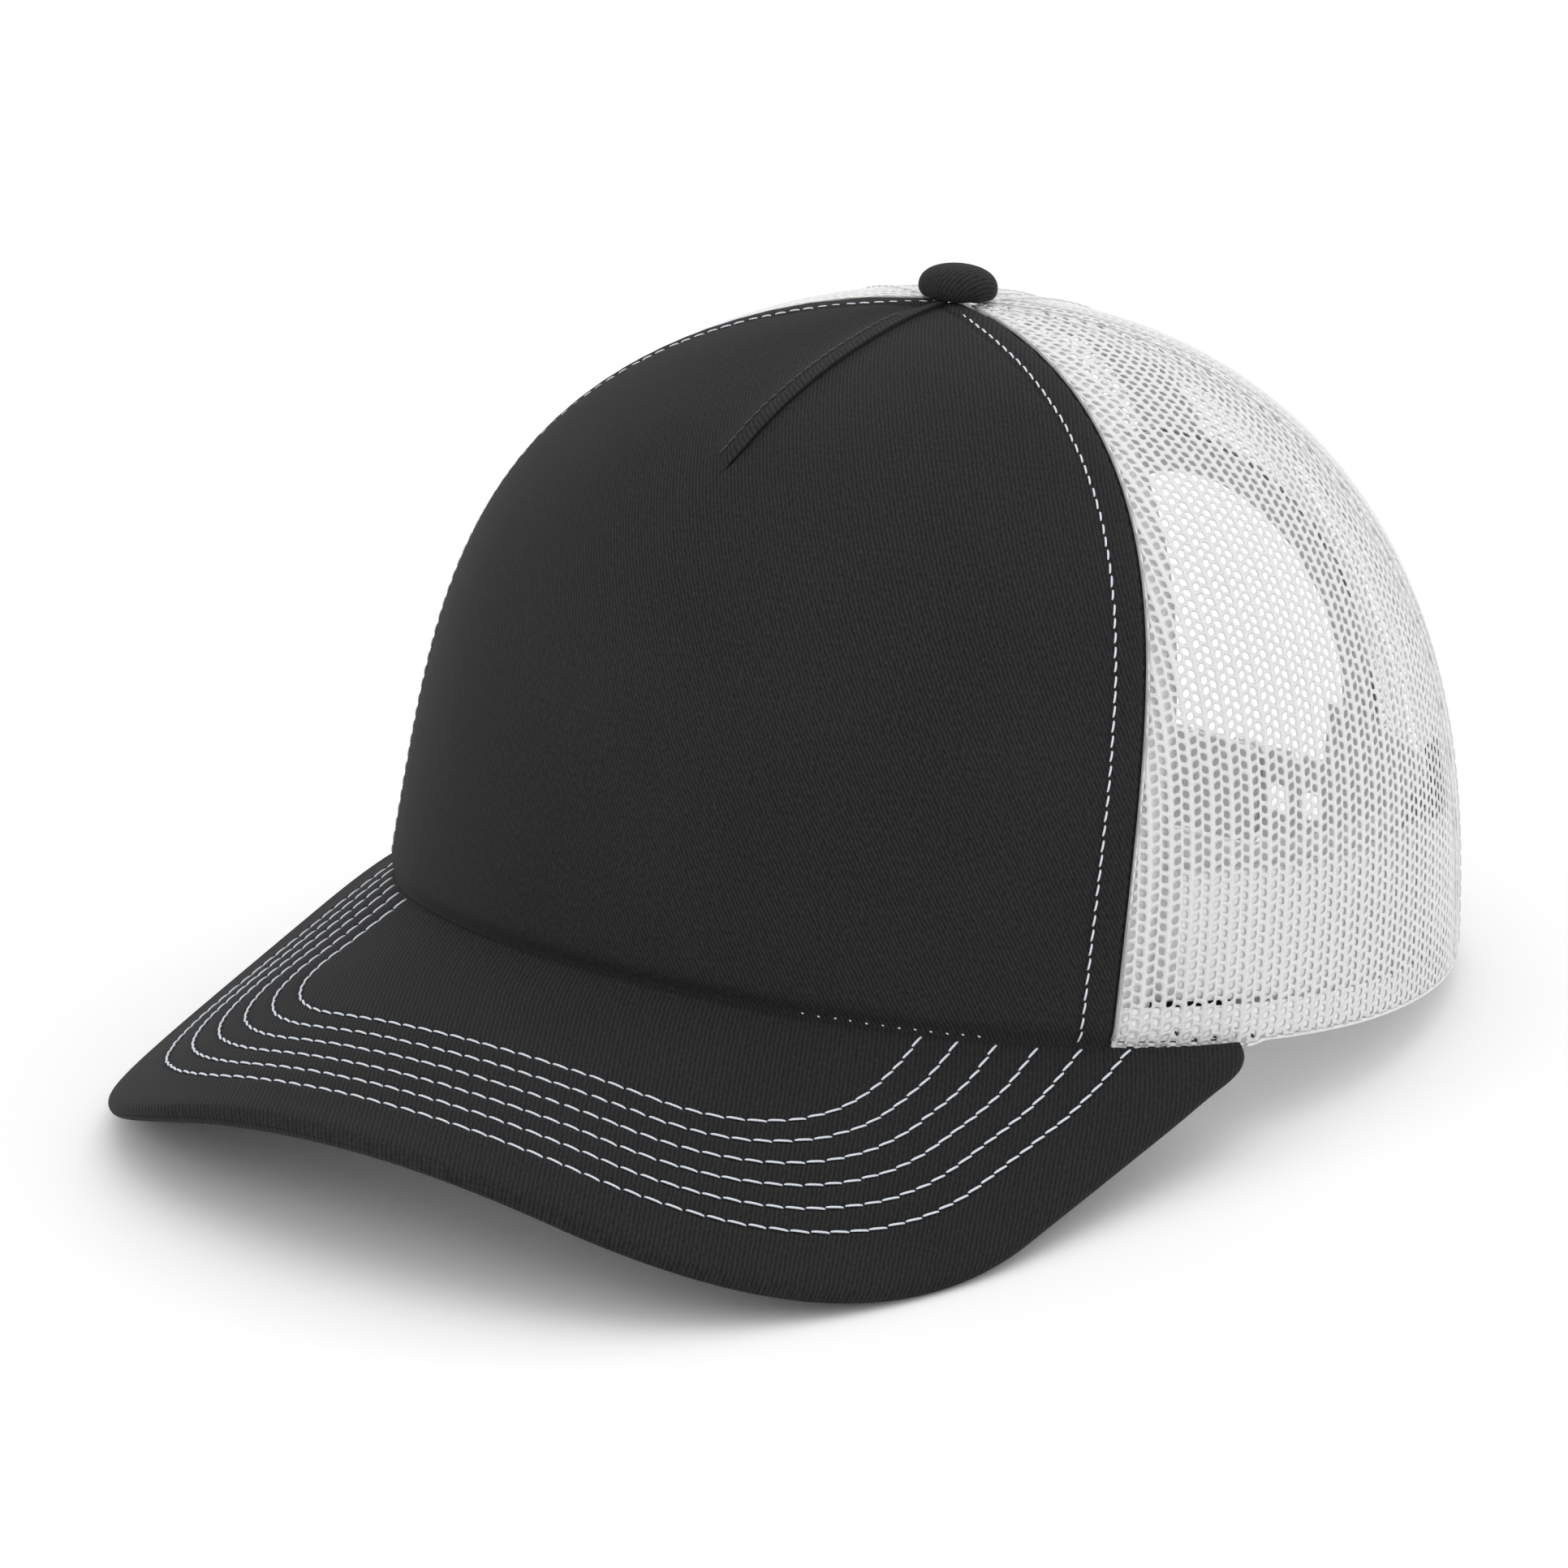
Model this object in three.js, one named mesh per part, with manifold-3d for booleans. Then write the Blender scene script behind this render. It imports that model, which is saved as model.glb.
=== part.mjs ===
// Five-panel trucker cap: stiffened twill front, four mesh panels, curved visor,
// sweatband, seam tapes, covered top button and an adjustable snap strap.
// Millimetres, +Z up, front towards -Y. The crown is laid out about its own level
// rim plane and then tipped to the attitude it takes when standing on a table.
import * as THREE from 'three';
import Module from 'manifold-3d';

const wasm = await Module();
wasm.setup();
const { Manifold, Mesh } = wasm;

// ---- driving dimensions (mm, degrees)
const CROWN = {
  front: 95.2, back: 99.7, half: 86.0, height: 106.0, // rim half lengths and height
  n: 2.586, nFront: 5.226, m: 2.243, mFront: 1.496,   // fullness of the profile
  lean: 0.024, leanFront: 0.154, topShift: -3.36,     // taper and button position
  flatBack: 0.084, flatPower: 6,                      // how far the strap draws it in
};
const HEM = { rise: 7.33, spread: 1.469, swell: -1.04, tuck: 2.2 };
const SEAM = { front: [57.12, 5.345, 1.737, 4.735], side: 120, back: 180 };
const VISOR = {
  slope: 14.58, bend: 155.4, tighten: 0.172, cone: -0.2547, sag: -0.7067, root: 6.2,
  reach: 60.58, tipRadius: 217.0, cornerRadius: 61.17, halfWidth: 87.88, flare: -1.545,
  thick: 3.15, cover: 0.7, endAngle: 72.5,
};
const ARCH = { half: 27.9, leg: 30, top: 67.5, power: 2, binding: 8 };
const STRAP = {
  height: 18, low: 1.2, thick: 1.2, outer: 2.1, inner: 3.6, hinge: 27.1,
  pitch: 7.4, first: 22.5, holes: 7, pegs: 5, tipHoles: -26.0, tipPegs: 11.4,
  holeRadius: 2.6, pegRadius: 1.85, pegRise: 1.7, tab: 13,
};
const LAYER = { // depth below the outer skin: [outer face, inner face]
  panel: [0, 0.9], lining: [1.2, 1.8], seam: [2.1, 2.7], foam: [1.2, 4.8],
  band: [5.1, 5.7],
};
const GAP = 0.3;
const TOP_RING = 4;
const TAPE = { half: 6.5, topRing: 14 };
const BAND = { height: 31.5, end: 160 };
const REST = { pitch: -7.02, shiftY: 32.02, shiftZ: 10.79 };

const rad = THREE.MathUtils.degToRad;
const clamp = THREE.MathUtils.clamp;
const mix = THREE.MathUtils.lerp;
const V = (x, y, z) => new THREE.Vector3(x, y, z);

// ---- crown skin: turn is measured from the front towards the wearer's left
function skin(turn, w) {
  const c = (1 + Math.cos(turn)) / 2;
  const n = mix(CROWN.n, CROWN.nFront, c * c);
  const m = mix(CROWN.m, CROWN.mFront, c * c);
  const k = (1 - mix(CROWN.lean, CROWN.leanFront, c) * w)
    * Math.max(1 - Math.abs(w) ** n, 0) ** (1 / m);
  const a = Math.cos(turn) > 0 ? CROWN.front
    : CROWN.back * (1 - CROWN.flatBack * Math.cos(turn) ** CROWN.flatPower);
  return V(CROWN.half * Math.sin(turn) * k,
    -a * Math.cos(turn) * k + CROWN.topShift * clamp(w, 0, 1) ** 1.5, CROWN.height * w);
}

function crown(turn, w, depth = 0) {
  const e = 1e-4;
  const p = skin(turn, w);
  const across = skin(turn + e, w).sub(skin(turn - e, w));
  const up = skin(turn, Math.min(w + e, 1)).sub(skin(turn, Math.min(w + e, 1) - 2 * e));
  return p.addScaledVector(across.cross(up).normalize(), -depth);
}

function girth(turn, w) { // millimetres along the skin for one radian of turn
  return skin(turn + 0.005, w).distanceTo(skin(turn - 0.005, w)) / 0.01;
}

function hemHeight(turn) {
  const t = Math.atan2(Math.sin(turn), Math.cos(turn));
  const q = Math.abs(t) < HEM.spread * Math.PI / 2 ? Math.cos(t / HEM.spread) ** 2 : 0;
  return HEM.rise * q + HEM.swell * 4 * q * (1 - q);
}

function tuckedHem(turn) { // the cloth goes below the rim's line only over the visor
  const away = Math.abs(Math.atan2(Math.sin(turn), Math.cos(turn))) * 180 / Math.PI;
  return hemHeight(turn) - HEM.tuck * clamp(hemHeight(turn) / 2, 0, 1)
    * clamp((76 - away) / 5, 0, 1);
}

function ringHeight(turn, radius) { // w where the skin is this far from the apex axis
  let lo = 0.6, hi = 1;
  for (let i = 0; i < 40; i++) {
    const mid = (lo + hi) / 2;
    const p = skin(turn, mid);
    if (Math.hypot(p.x, p.y - CROWN.topShift) > radius) lo = mid; else hi = mid;
  }
  return lo;
}

function frontSeam(turn, w) { // seam turn at height w, with hem heights folded in
  const w0 = hemHeight(rad(60)) / CROWN.height;
  const t = clamp((w - w0) / (1 - w0), 0, 1);
  const s = SEAM.front;
  return rad(s[0] + t * (s[1] + t * (s[2] + t * s[3])));
}

const ROWS = [0, 0.08, 0.16, 0.25, 0.34, 0.43, 0.52, 0.6, 0.68, 0.75, 0.81, 0.865,
  0.91, 0.945, 0.97, 0.985, 0.994, 1];

// ---- closed solids from two matching grids of points
function solid(cols, rows, place) {
  const pos = [], idx = [];
  const id = (i, j, side) => ((i * (rows + 1)) + j) * 2 + side;
  for (let i = 0; i <= cols; i++) {
    for (let j = 0; j <= rows; j++) {
      const [outer, inner] = place(i, j);
      pos.push(outer.x, outer.y, outer.z, inner.x, inner.y, inner.z);
    }
  }
  const quad = (a, b, c, d) => idx.push(a, b, c, a, c, d);
  for (let i = 0; i < cols; i++) {
    for (let j = 0; j < rows; j++) {
      quad(id(i, j, 0), id(i + 1, j, 0), id(i + 1, j + 1, 0), id(i, j + 1, 0));
      quad(id(i, j, 1), id(i, j + 1, 1), id(i + 1, j + 1, 1), id(i + 1, j, 1));
    }
    quad(id(i, 0, 0), id(i, 0, 1), id(i + 1, 0, 1), id(i + 1, 0, 0));
    quad(id(i, rows, 0), id(i + 1, rows, 0), id(i + 1, rows, 1), id(i, rows, 1));
  }
  for (let j = 0; j < rows; j++) {
    quad(id(0, j, 0), id(0, j + 1, 0), id(0, j + 1, 1), id(0, j, 1));
    quad(id(cols, j, 0), id(cols, j, 1), id(cols, j + 1, 1), id(cols, j + 1, 0));
  }
  const g = new THREE.BufferGeometry();
  g.setAttribute('position', new THREE.Float32BufferAttribute(pos, 3));
  g.setIndex(idx);
  return g;
}

function skinSolid(cols, rows, at, [outer, inner]) { // at(i, j) gives [turn, w]
  return solid(cols, rows, (i, j) => {
    const [turn, w] = at(i, j);
    return [crown(turn, w, outer), crown(turn, w, inner)];
  });
}

// ---- crown panels
function panelBetween(cols, startTurn, endTurn, trim, ring, layer, foot = tuckedHem) {
  const rows = ROWS.length - 1;
  return skinSolid(cols, rows, (i, j) => {
    let turn = mix(startTurn(0.3), endTurn(0.3), i / cols);
    let w = 0;
    for (let pass = 0; pass < 4; pass++) {
      const w0 = foot(turn) / CROWN.height;
      w = mix(w0, ringHeight(turn, ring), ROWS[j]);
      const cut = trim / girth(turn, w);
      turn = mix(startTurn(w) + cut, endTurn(w) - cut, i / cols);
    }
    return [turn, w];
  }, layer);
}

function archCurve(step, steps, spread) { // from the foot (0) to the apex (steps)
  const legs = 3;
  const power = 2 / ARCH.power;
  const a = step < legs ? 0 : (step - legs) / (steps - legs) * Math.PI / 2;
  const x = (ARCH.half + spread) * Math.cos(a) ** power;
  const z = step < legs ? ARCH.leg * step / legs
    : ARCH.leg + (ARCH.top - ARCH.leg + spread) * Math.sin(a) ** power;
  return { x: Math.abs(x) < 1e-6 ? 0 : x, z };
}

function backTurn(x, w) { // turn on the wearer's left where the skin is x from centre
  let turn = Math.PI - Math.asin(clamp(x / CROWN.half, -1, 1));
  for (let i = 0; i < 6; i++) {
    turn += (skin(turn, w).x - x) / girth(turn, w);
  }
  return turn;
}

function backPanel(side) {
  const flat = 9, steps = 13, cols = flat + steps;
  const rows = ROWS.length - 1;
  const inner = GAP / 2;
  const foot = archCurve(0, steps, 1.5);
  const footTurn = backTurn(foot.x, 0);
  return skinSolid(cols, rows, (i0, j) => {
    const i = side > 0 ? i0 : cols - i0;
    let lowTurn, lowZ;
    if (i <= flat) {
      lowTurn = mix(rad(SEAM.side), footTurn, i / flat);
      lowZ = 0;
    } else {
      const p = archCurve(i - flat, steps, 1.5);
      lowTurn = backTurn(p.x, p.z / CROWN.height);
      lowZ = p.z;
    }
    const topTurn = mix(rad(SEAM.side), Math.PI, i / cols);
    const w = mix(lowZ / CROWN.height, ringHeight(topTurn, TOP_RING), ROWS[j]);
    let turn = mix(lowTurn, topTurn, ROWS[j] ** 0.8);
    const cut = inner / girth(turn, w);
    turn = clamp(turn, rad(SEAM.side) + cut, Math.PI - cut);
    return [side * turn, w];
  }, LAYER.panel);
}

// ---- narrow strips that follow a seam up the crown
function seamTape(seam, layer, foot) {
  const cols = 4, rows = ROWS.length - 1;
  return skinSolid(cols, rows, (i, j) => {
    let w = 0.3, turn = seam(w);
    for (let pass = 0; pass < 3; pass++) {
      w = mix(foot / CROWN.height, ringHeight(turn, TAPE.topRing), ROWS[j]);
      const side = mix(-TAPE.half, TAPE.half, i / cols);
      turn = seam(w) + side / girth(seam(w), w);
    }
    return [turn, w];
  }, layer);
}

// ---- rings that follow the rim inside the crown
function rimBand(endTurn, low, high, layer, cols) {
  return skinSolid(cols, 4, (i, j) => {
    const turn = mix(-endTurn, endTurn, i / cols);
    return [turn, (hemHeight(turn) + mix(low, high, j / 4)) / CROWN.height];
  }, layer);
}

function archBinding() {
  const steps = 13, cols = 2 * steps;
  const path = [[8, -0.9, -0.3], [0.5, -0.9, -0.3], [0, -0.6, 0], [0, 1.5, 0.9],
    [0.5, 1.8, 1.2], [8, 1.8, 1.2]];
  const inset = [8, 1.1, 0.9, 0.9, 1.1, 8];
  const rows = path.length - 1;
  return solid(cols, rows, (i, j) => {
    const side = i <= steps ? 1 : -1;
    const step = i <= steps ? i : cols - i;
    const at = (spread, depth) => {
      const p = archCurve(step, steps, spread);
      const w = Math.max(p.z, step === 0 ? 0.2 : 0) / CROWN.height;
      return crown(side * backTurn(p.x, w), w, depth);
    };
    const [spread, outer, inner] = path[rows - j];
    return [at(spread, outer), at(inset[rows - j], inner)];
  });
}

// ---- snap strap
function strapPoint(x, z, depth) {
  return crown(backTurn(x, z / CROWN.height), z / CROWN.height, depth);
}

function strapBand(from, to, depth, roundEnd) {
  const rows = 6, cols = Math.ceil(Math.abs(from - to) / 3);
  return solid(cols, rows, (i, j) => {
    const u = from > to ? i / cols : 1 - i / cols;
    const x = mix(from, to, u);
    const edge = roundEnd ? clamp(Math.abs(x - to) / 4, 0.0, 1) : 1;
    const half = STRAP.height / 2 - 3 * (1 - Math.sqrt(1 - (1 - edge) ** 2));
    const z = STRAP.low + STRAP.height / 2 + mix(-half, half, j / rows);
    return [strapPoint(x, z, depth), strapPoint(x, z, depth + STRAP.thick)];
  });
}

function rootBead(x, depth) { // rounded root edge the strap bends about
  const mid = STRAP.low + STRAP.height / 2;
  const g = new THREE.CylinderGeometry(STRAP.thick / 2, STRAP.thick / 2,
    STRAP.height, 16);
  g.rotateX(Math.PI / 2);
  const p = strapPoint(x, mid, depth + STRAP.thick / 2);
  return g.translate(p.x, p.y, mid);
}

function studAt(x, radius, fromDepth, toDepth) {
  const mid = STRAP.low + STRAP.height / 2;
  const a = strapPoint(x, mid, fromDepth), b = strapPoint(x, mid, toDepth);
  const g = new THREE.CylinderGeometry(radius, radius, a.distanceTo(b), 20);
  g.applyQuaternion(new THREE.Quaternion().setFromUnitVectors(V(0, 1, 0),
    a.clone().sub(b).normalize()));
  const c = a.add(b).multiplyScalar(0.5);
  return g.translate(c.x, c.y, c.z);
}

const toManifold = (g) => {
  const index = g.index ? Array.from(g.index.array) : null;
  const pos = g.attributes.position;
  const keys = new Map(), verts = [], tris = [];
  const vertex = (i) => {
    const p = [pos.getX(i), pos.getY(i), pos.getZ(i)];
    const key = p.map((c) => Math.round(c * 1e4)).join();
    if (!keys.has(key)) { keys.set(key, verts.length / 3); verts.push(...p); }
    return keys.get(key);
  };
  const count = index ? index.length : pos.count;
  for (let t = 0; t < count; t += 3) {
    const f = [0, 1, 2].map((k) => vertex(index ? index[t + k] : t + k));
    if (new Set(f).size === 3) tris.push(...f);
  }
  return new Manifold(new Mesh({ numProp: 3, vertProperties: new Float32Array(verts),
    triVerts: new Uint32Array(tris) }));
};

const fromManifold = (body) => {
  const mesh = body.getMesh();
  const g = new THREE.BufferGeometry();
  g.setAttribute('position', new THREE.Float32BufferAttribute(mesh.vertProperties, 3));
  g.setIndex(Array.from(mesh.triVerts));
  return g;
};

function holedStrap() {
  let body = toManifold(strapBand(STRAP.hinge, STRAP.tipHoles, STRAP.outer, true))
    .add(toManifold(rootBead(STRAP.hinge, STRAP.outer)));
  for (let k = 0; k < STRAP.holes; k++) {
    const x = STRAP.first - k * STRAP.pitch;
    body = body.subtract(toManifold(studAt(x, STRAP.holeRadius, STRAP.outer - 1,
      STRAP.outer + STRAP.thick + 1)));
  }
  return fromManifold(body);
}

function peggedStrap() {
  let body = toManifold(strapBand(-STRAP.hinge, STRAP.tipPegs, STRAP.inner, true))
    .add(toManifold(rootBead(-STRAP.hinge, STRAP.inner)));
  for (let k = 0; k < STRAP.pegs; k++) {
    const x = STRAP.first - (k + STRAP.holes - STRAP.pegs) * STRAP.pitch;
    body = body.add(toManifold(studAt(x, STRAP.pegRadius, STRAP.inner - STRAP.pegRise,
      STRAP.inner + STRAP.thick / 2)));
  }
  return fromManifold(body);
}

function strapTab(side, depth) { // the end of the strap sewn in behind the panel edge
  const start = STRAP.hinge + STRAP.thick / 2 + 3 * GAP;
  const from = side > 0 ? start + STRAP.tab : -start;
  const to = side > 0 ? start : -start - STRAP.tab;
  return strapBand(from, to, depth, false);
}

// ---- visor: a flat outline bent into a curved, slightly coned sheet
function visorPoint(s, v, off) {
  const b = rad(VISOR.slope);
  const forward = V(0, -Math.cos(b), -Math.sin(b));
  const up = V(0, -Math.sin(b), Math.cos(b));
  const r = VISOR.bend * (1 + VISOR.cone * v / 70);
  const steps = 24, ds = Math.abs(s) / steps;
  let x = 0, h = 0, angle = 0;
  for (let i = 0; i <= steps; i++) {
    const q = i * ds;
    angle = q / r * (1 + VISOR.tighten * (q / 80) ** 2);
    const weight = i === 0 || i === steps ? 0.5 : 1;
    x += Math.cos(angle) * ds * weight;
    h -= Math.sin(angle) * ds * weight;
  }
  const sign = Math.sign(s) || 1;
  return V(0, -CROWN.front, VISOR.root).addScaledVector(forward, v)
    .addScaledVector(V(1, 0, 0), sign * x)
    .addScaledVector(up, h - VISOR.sag * (v / 70) ** 2)
    .addScaledVector(V(1, 0, 0), Math.sin(angle) * sign * off)
    .addScaledVector(up, Math.cos(angle) * off);
}

function insideCrown(p) { // positive when the point lies clear of the skin
  const w = p.z / CROWN.height;
  let turn = Math.atan2(p.x / CROWN.half, -p.y / CROWN.front);
  for (let i = 0; i < 4; i++) {
    const q = skin(turn, w);
    turn += (p.x - q.x) * Math.cos(turn) / girth(turn, w)
      + (p.y - q.y) * Math.sin(turn) / girth(turn, w);
  }
  const q = skin(turn, w);
  return Math.hypot(p.x, p.y) - Math.hypot(q.x, q.y);
}

function visorRoot(s, off = 0) { // flat v where this layer of the visor meets the crown
  let lo = -85, hi = 20;
  for (let i = 0; i < 40; i++) {
    const mid = (lo + hi) / 2;
    if (insideCrown(visorPoint(s, mid, off)) > GAP + 0.15) hi = mid; else lo = mid;
  }
  return hi;
}

function visorEnd() { // flat half width at which the root reaches its end turn
  let lo = 60, hi = VISOR.halfWidth - 1;
  for (let i = 0; i < 30; i++) {
    const mid = (lo + hi) / 2;
    const p = visorPoint(mid, visorRoot(mid), 0);
    const turn = Math.atan2(p.x / CROWN.half, -p.y / CROWN.front);
    if (turn < rad(VISOR.endAngle)) lo = mid; else hi = mid;
  }
  return lo;
}

function visorOutline(inset, endV) { // points from the middle of the tip to the end
  const g = rad(VISOR.flare);
  const n = new THREE.Vector2(Math.cos(g), -Math.sin(g));
  const t = new THREE.Vector2(Math.sin(g), Math.cos(g));
  const centre = new THREE.Vector2(0, VISOR.reach - VISOR.tipRadius);
  const base = n.clone().multiplyScalar(VISOR.halfWidth * Math.cos(g) - VISOR.cornerRadius);
  const b = base.clone().sub(centre);
  const along = b.dot(t);
  const k = -along + Math.sqrt(along ** 2 - b.lengthSq()
    + (VISOR.tipRadius - VISOR.cornerRadius) ** 2);
  const corner = base.clone().addScaledVector(t, k);
  const dir = corner.clone().sub(centre);
  const a1 = Math.atan2(dir.x, dir.y), a2 = Math.atan2(n.x, n.y);
  const pts = [];
  for (let i = 0; i <= 24; i++) {
    const a = a1 * i / 24;
    pts.push([centre.x + (VISOR.tipRadius - inset) * Math.sin(a),
      centre.y + (VISOR.tipRadius - inset) * Math.cos(a)]);
  }
  for (let i = 1; i <= 40; i++) {
    const a = mix(a1, a2, i / 40);
    pts.push([corner.x + (VISOR.cornerRadius - inset) * Math.sin(a),
      corner.y + (VISOR.cornerRadius - inset) * Math.cos(a)]);
  }
  const [s, v] = pts[pts.length - 1];
  for (let i = 1; i <= 20; i++) {
    const q = mix(v, endV, i / 20);
    pts.push([s + (q - v) * t.x / t.y, q]);
  }
  return pts;
}

function evenly(pts, count) { // resample an open polyline to count + 1 even points
  const run = [0];
  for (let i = 1; i < pts.length; i++) {
    run.push(run[i - 1] + Math.hypot(pts[i][0] - pts[i - 1][0], pts[i][1] - pts[i - 1][1]));
  }
  const out = [];
  for (let k = 0, i = 1; k <= count; k++) {
    const d = run[run.length - 1] * k / count;
    while (i < pts.length - 1 && run[i] < d) i++;
    const f = clamp((d - run[i - 1]) / (run[i] - run[i - 1]), 0, 1);
    out.push([mix(pts[i - 1][0], pts[i][0], f), mix(pts[i - 1][1], pts[i][1], f)]);
  }
  return out;
}

const VISOR_COLS = 18;
const END = visorEnd();
const END_V = visorRoot(END);
const ROOTS = new Map();
const rootLine = (off) => {
  if (!ROOTS.has(off)) {
    ROOTS.set(off, Array.from({ length: VISOR_COLS + 1 }, (_, k) => {
      const s = END * Math.sin(Math.PI / 2 * k / VISOR_COLS);
      return [s, visorRoot(s, off)];
    }));
  }
  return ROOTS.get(off);
};
const OUTLINES = new Map();
const outline = (inset) => {
  if (!OUTLINES.has(inset)) {
    OUTLINES.set(inset, evenly(visorOutline(inset, END_V + 0.5), VISOR_COLS));
  }
  return OUTLINES.get(inset);
};

// each station is [fraction from root to edge, edge inset, height above mid sheet]
function visorSheet(outer, inner) {
  const at = (i, [t, inset, off]) => {
    const k = Math.abs(i - VISOR_COLS), sign = i < VISOR_COLS ? -1 : 1;
    const root = rootLine(off)[k], edge = outline(inset)[k];
    return visorPoint(sign * mix(root[0], edge[0], t), mix(root[1], edge[1], t), off);
  };
  return solid(2 * VISOR_COLS, outer.length - 1, (i, j) => {
    const row = outer.length - 1 - j;
    return [at(i, outer[row]), at(i, inner[row])];
  });
}

function visorCover(up) {
  const half = VISOR.thick / 2, under = half - VISOR.cover;
  const outer = [0, 0.25, 0.5, 0.75, 1].map((t) => [t, 1.1, up * half]);
  outer.push([1, 0.35, up * half * 0.72], [1, 0, up * 0.15]);
  const inner = [0, 0.25, 0.5, 0.75, 1].map((t) => [t, 1.7, up * under]);
  inner.push([1, 1.05, up * under * 0.7], [1, 0.8, up * 0.15]);
  return up > 0 ? visorSheet(outer, inner) : visorSheet(inner, outer);
}

function visorBoard() {
  const half = VISOR.thick / 2 - VISOR.cover - GAP;
  const rows = [0.02, 0.25, 0.5, 0.75, 1];
  return visorSheet(rows.map((t) => [t, 2.1, half]), rows.map((t) => [t, 2.1, -half]));
}

// ---- top button, turned about the crown's apex
function turned(profile) {
  const g = new THREE.LatheGeometry(profile.map(([r, z]) => new THREE.Vector2(r, z)), 28);
  return g.rotateX(Math.PI / 2).translate(0, CROWN.topShift, CROWN.height);
}

const BUTTON = {
  cover: [[5.0, 0.4], [5.6, 0.4], [6.3, 0.9], [6.6, 2.0], [6.3, 3.4], [5.2, 4.7],
    [3.2, 5.6], [0, 5.9], [0, 5.1], [3.0, 4.85], [4.7, 4.1], [5.5, 3.1], [5.8, 2.0],
    [5.6, 1.2], [5.0, 0.4]],
  shell: [[4.3, 0.6], [4.8, 0.6], [5.2, 1.3], [5.5, 2.0], [5.2, 2.95], [4.45, 3.85],
    [2.9, 4.55], [0, 4.8], [0, 4.2], [2.6, 4.0], [4.0, 3.4], [4.6, 2.7], [4.9, 2.0],
    [4.7, 1.4], [4.3, 0.6]],
  rivet: [[0, -3.4], [2.6, -3.4], [2.6, -2.7], [1.2, -2.7], [1.2, 3.1], [2.0, 3.3],
    [2.0, 3.9], [0, 3.9]],
  washer: [[1.5, -2.4], [6.0, -2.4], [6.0, -1.6], [1.5, -1.6], [1.5, -2.4]],
};

function sizeLabel() { // stands above the sweatband, beside the left side tape
  return skinSolid(4, 3, (i, j) => [rad(mix(109.4, 115.3, i / 4)),
    mix(28.7, 40.6, j / 3) / CROWN.height], LAYER.lining);
}

function sweatPad() { // lies on the mesh, and steps in over the tapes and the visor seam
  const rows = [0.8, 8.4, 10.6, 19, 28];
  return solid(112, 4, (i, j) => {
    const turn = rad(mix(-140, 140, i / 112));
    const away = Math.abs(i / 112 * 280 - 140);
    const besideTape = clamp((Math.abs(away - 120) - 5) / 2.5, 0, 1);
    const besideFront = clamp((away - 62.5) / 2.5, 0, 1);
    const pastSeam = j > 1 ? 1 : clamp((away - 75) / 2.5, 0, 1);
    const face = Math.max(mix(2.1, LAYER.foam[0], Math.min(besideTape, besideFront)),
      mix(3.0, LAYER.foam[0], pastSeam));
    const w = (hemHeight(turn) + rows[j]) / CROWN.height;
    return [crown(turn, w, face), crown(turn, w, LAYER.foam[1])];
  });
}

// ---- materials
const cloth = (color, roughness = 0.9) => new THREE.MeshStandardMaterial({
  color, roughness, metalness: 0 });
const MATERIALS = {
  twill_black: cloth(0x18191b), mesh_white: cloth(0xeceeee, 0.6),
  lining_white: cloth(0xdfe0dd), tape_white: cloth(0xe6e6e3),
  sweatband_white: cloth(0xdedfdc), foam_grey: cloth(0xb9bab8),
  strap_white: cloth(0xe9ebec, 0.35), board_grey: cloth(0x6d6e70, 0.5),
  steel: new THREE.MeshStandardMaterial({ color: 0x9c9ea0, roughness: 0.35, metalness: 1 }),
};

// ---- assembly
const cap = new THREE.Group();
cap.name = 'trucker_cap';
const crownGroup = new THREE.Group();
crownGroup.name = 'standing_attitude';
crownGroup.rotation.x = rad(REST.pitch);
crownGroup.position.set(0, REST.shiftY, REST.shiftZ);
cap.add(crownGroup);

function add(name, material, geometry) {
  geometry.computeVertexNormals();
  const mesh = new THREE.Mesh(geometry, MATERIALS[material]);
  mesh.name = name;
  crownGroup.add(mesh);
}

const fixed = (degrees) => () => rad(degrees);
const leftFront = (w) => frontSeam(0, w);
const rightFront = (w) => -frontSeam(0, w);
const trim = GAP / 2;

add('front_panel', 'twill_black',
  panelBetween(22, rightFront, leftFront, trim, TOP_RING, LAYER.panel));
add('front_liner', 'lining_white',
  panelBetween(20, rightFront, leftFront, TAPE.half + GAP + 0.2, TAPE.topRing,
    LAYER.lining, (turn) => tuckedHem(turn) + 0.5));
add('side_mesh_left', 'mesh_white',
  panelBetween(12, leftFront, fixed(SEAM.side), trim, TOP_RING, LAYER.panel));
add('side_mesh_right', 'mesh_white',
  panelBetween(12, fixed(-SEAM.side), rightFront, trim, TOP_RING, LAYER.panel));
add('back_mesh_left', 'mesh_white', backPanel(1));
add('back_mesh_right', 'mesh_white', backPanel(-1));
add('seam_tape_front_left', 'tape_white', seamTape(leftFront, LAYER.lining, 3.5));
add('seam_tape_front_right', 'tape_white', seamTape(rightFront, LAYER.lining, 3.5));
add('seam_tape_side_left', 'tape_white', seamTape(fixed(SEAM.side), LAYER.lining, 0.5));
add('seam_tape_side_right', 'tape_white', seamTape(fixed(-SEAM.side), LAYER.lining, 0.5));
add('seam_tape_back', 'tape_white',
  seamTape(fixed(SEAM.back), LAYER.lining, ARCH.top + ARCH.binding + 1));
add('arch_binding', 'tape_white', archBinding());
add('visor_seam_allowance', 'twill_black',
  rimBand(rad(72), -1.2, 8, LAYER.seam, 28));
add('sweatband_foam', 'foam_grey', sweatPad());
add('sweatband', 'sweatband_white',
  rimBand(rad(BAND.end), 0.2, BAND.height, LAYER.band, 64));
add('size_label', 'twill_black', sizeLabel());
add('snap_strap_holes', 'strap_white', holedStrap());
add('snap_strap_pegs', 'strap_white', peggedStrap());
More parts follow.
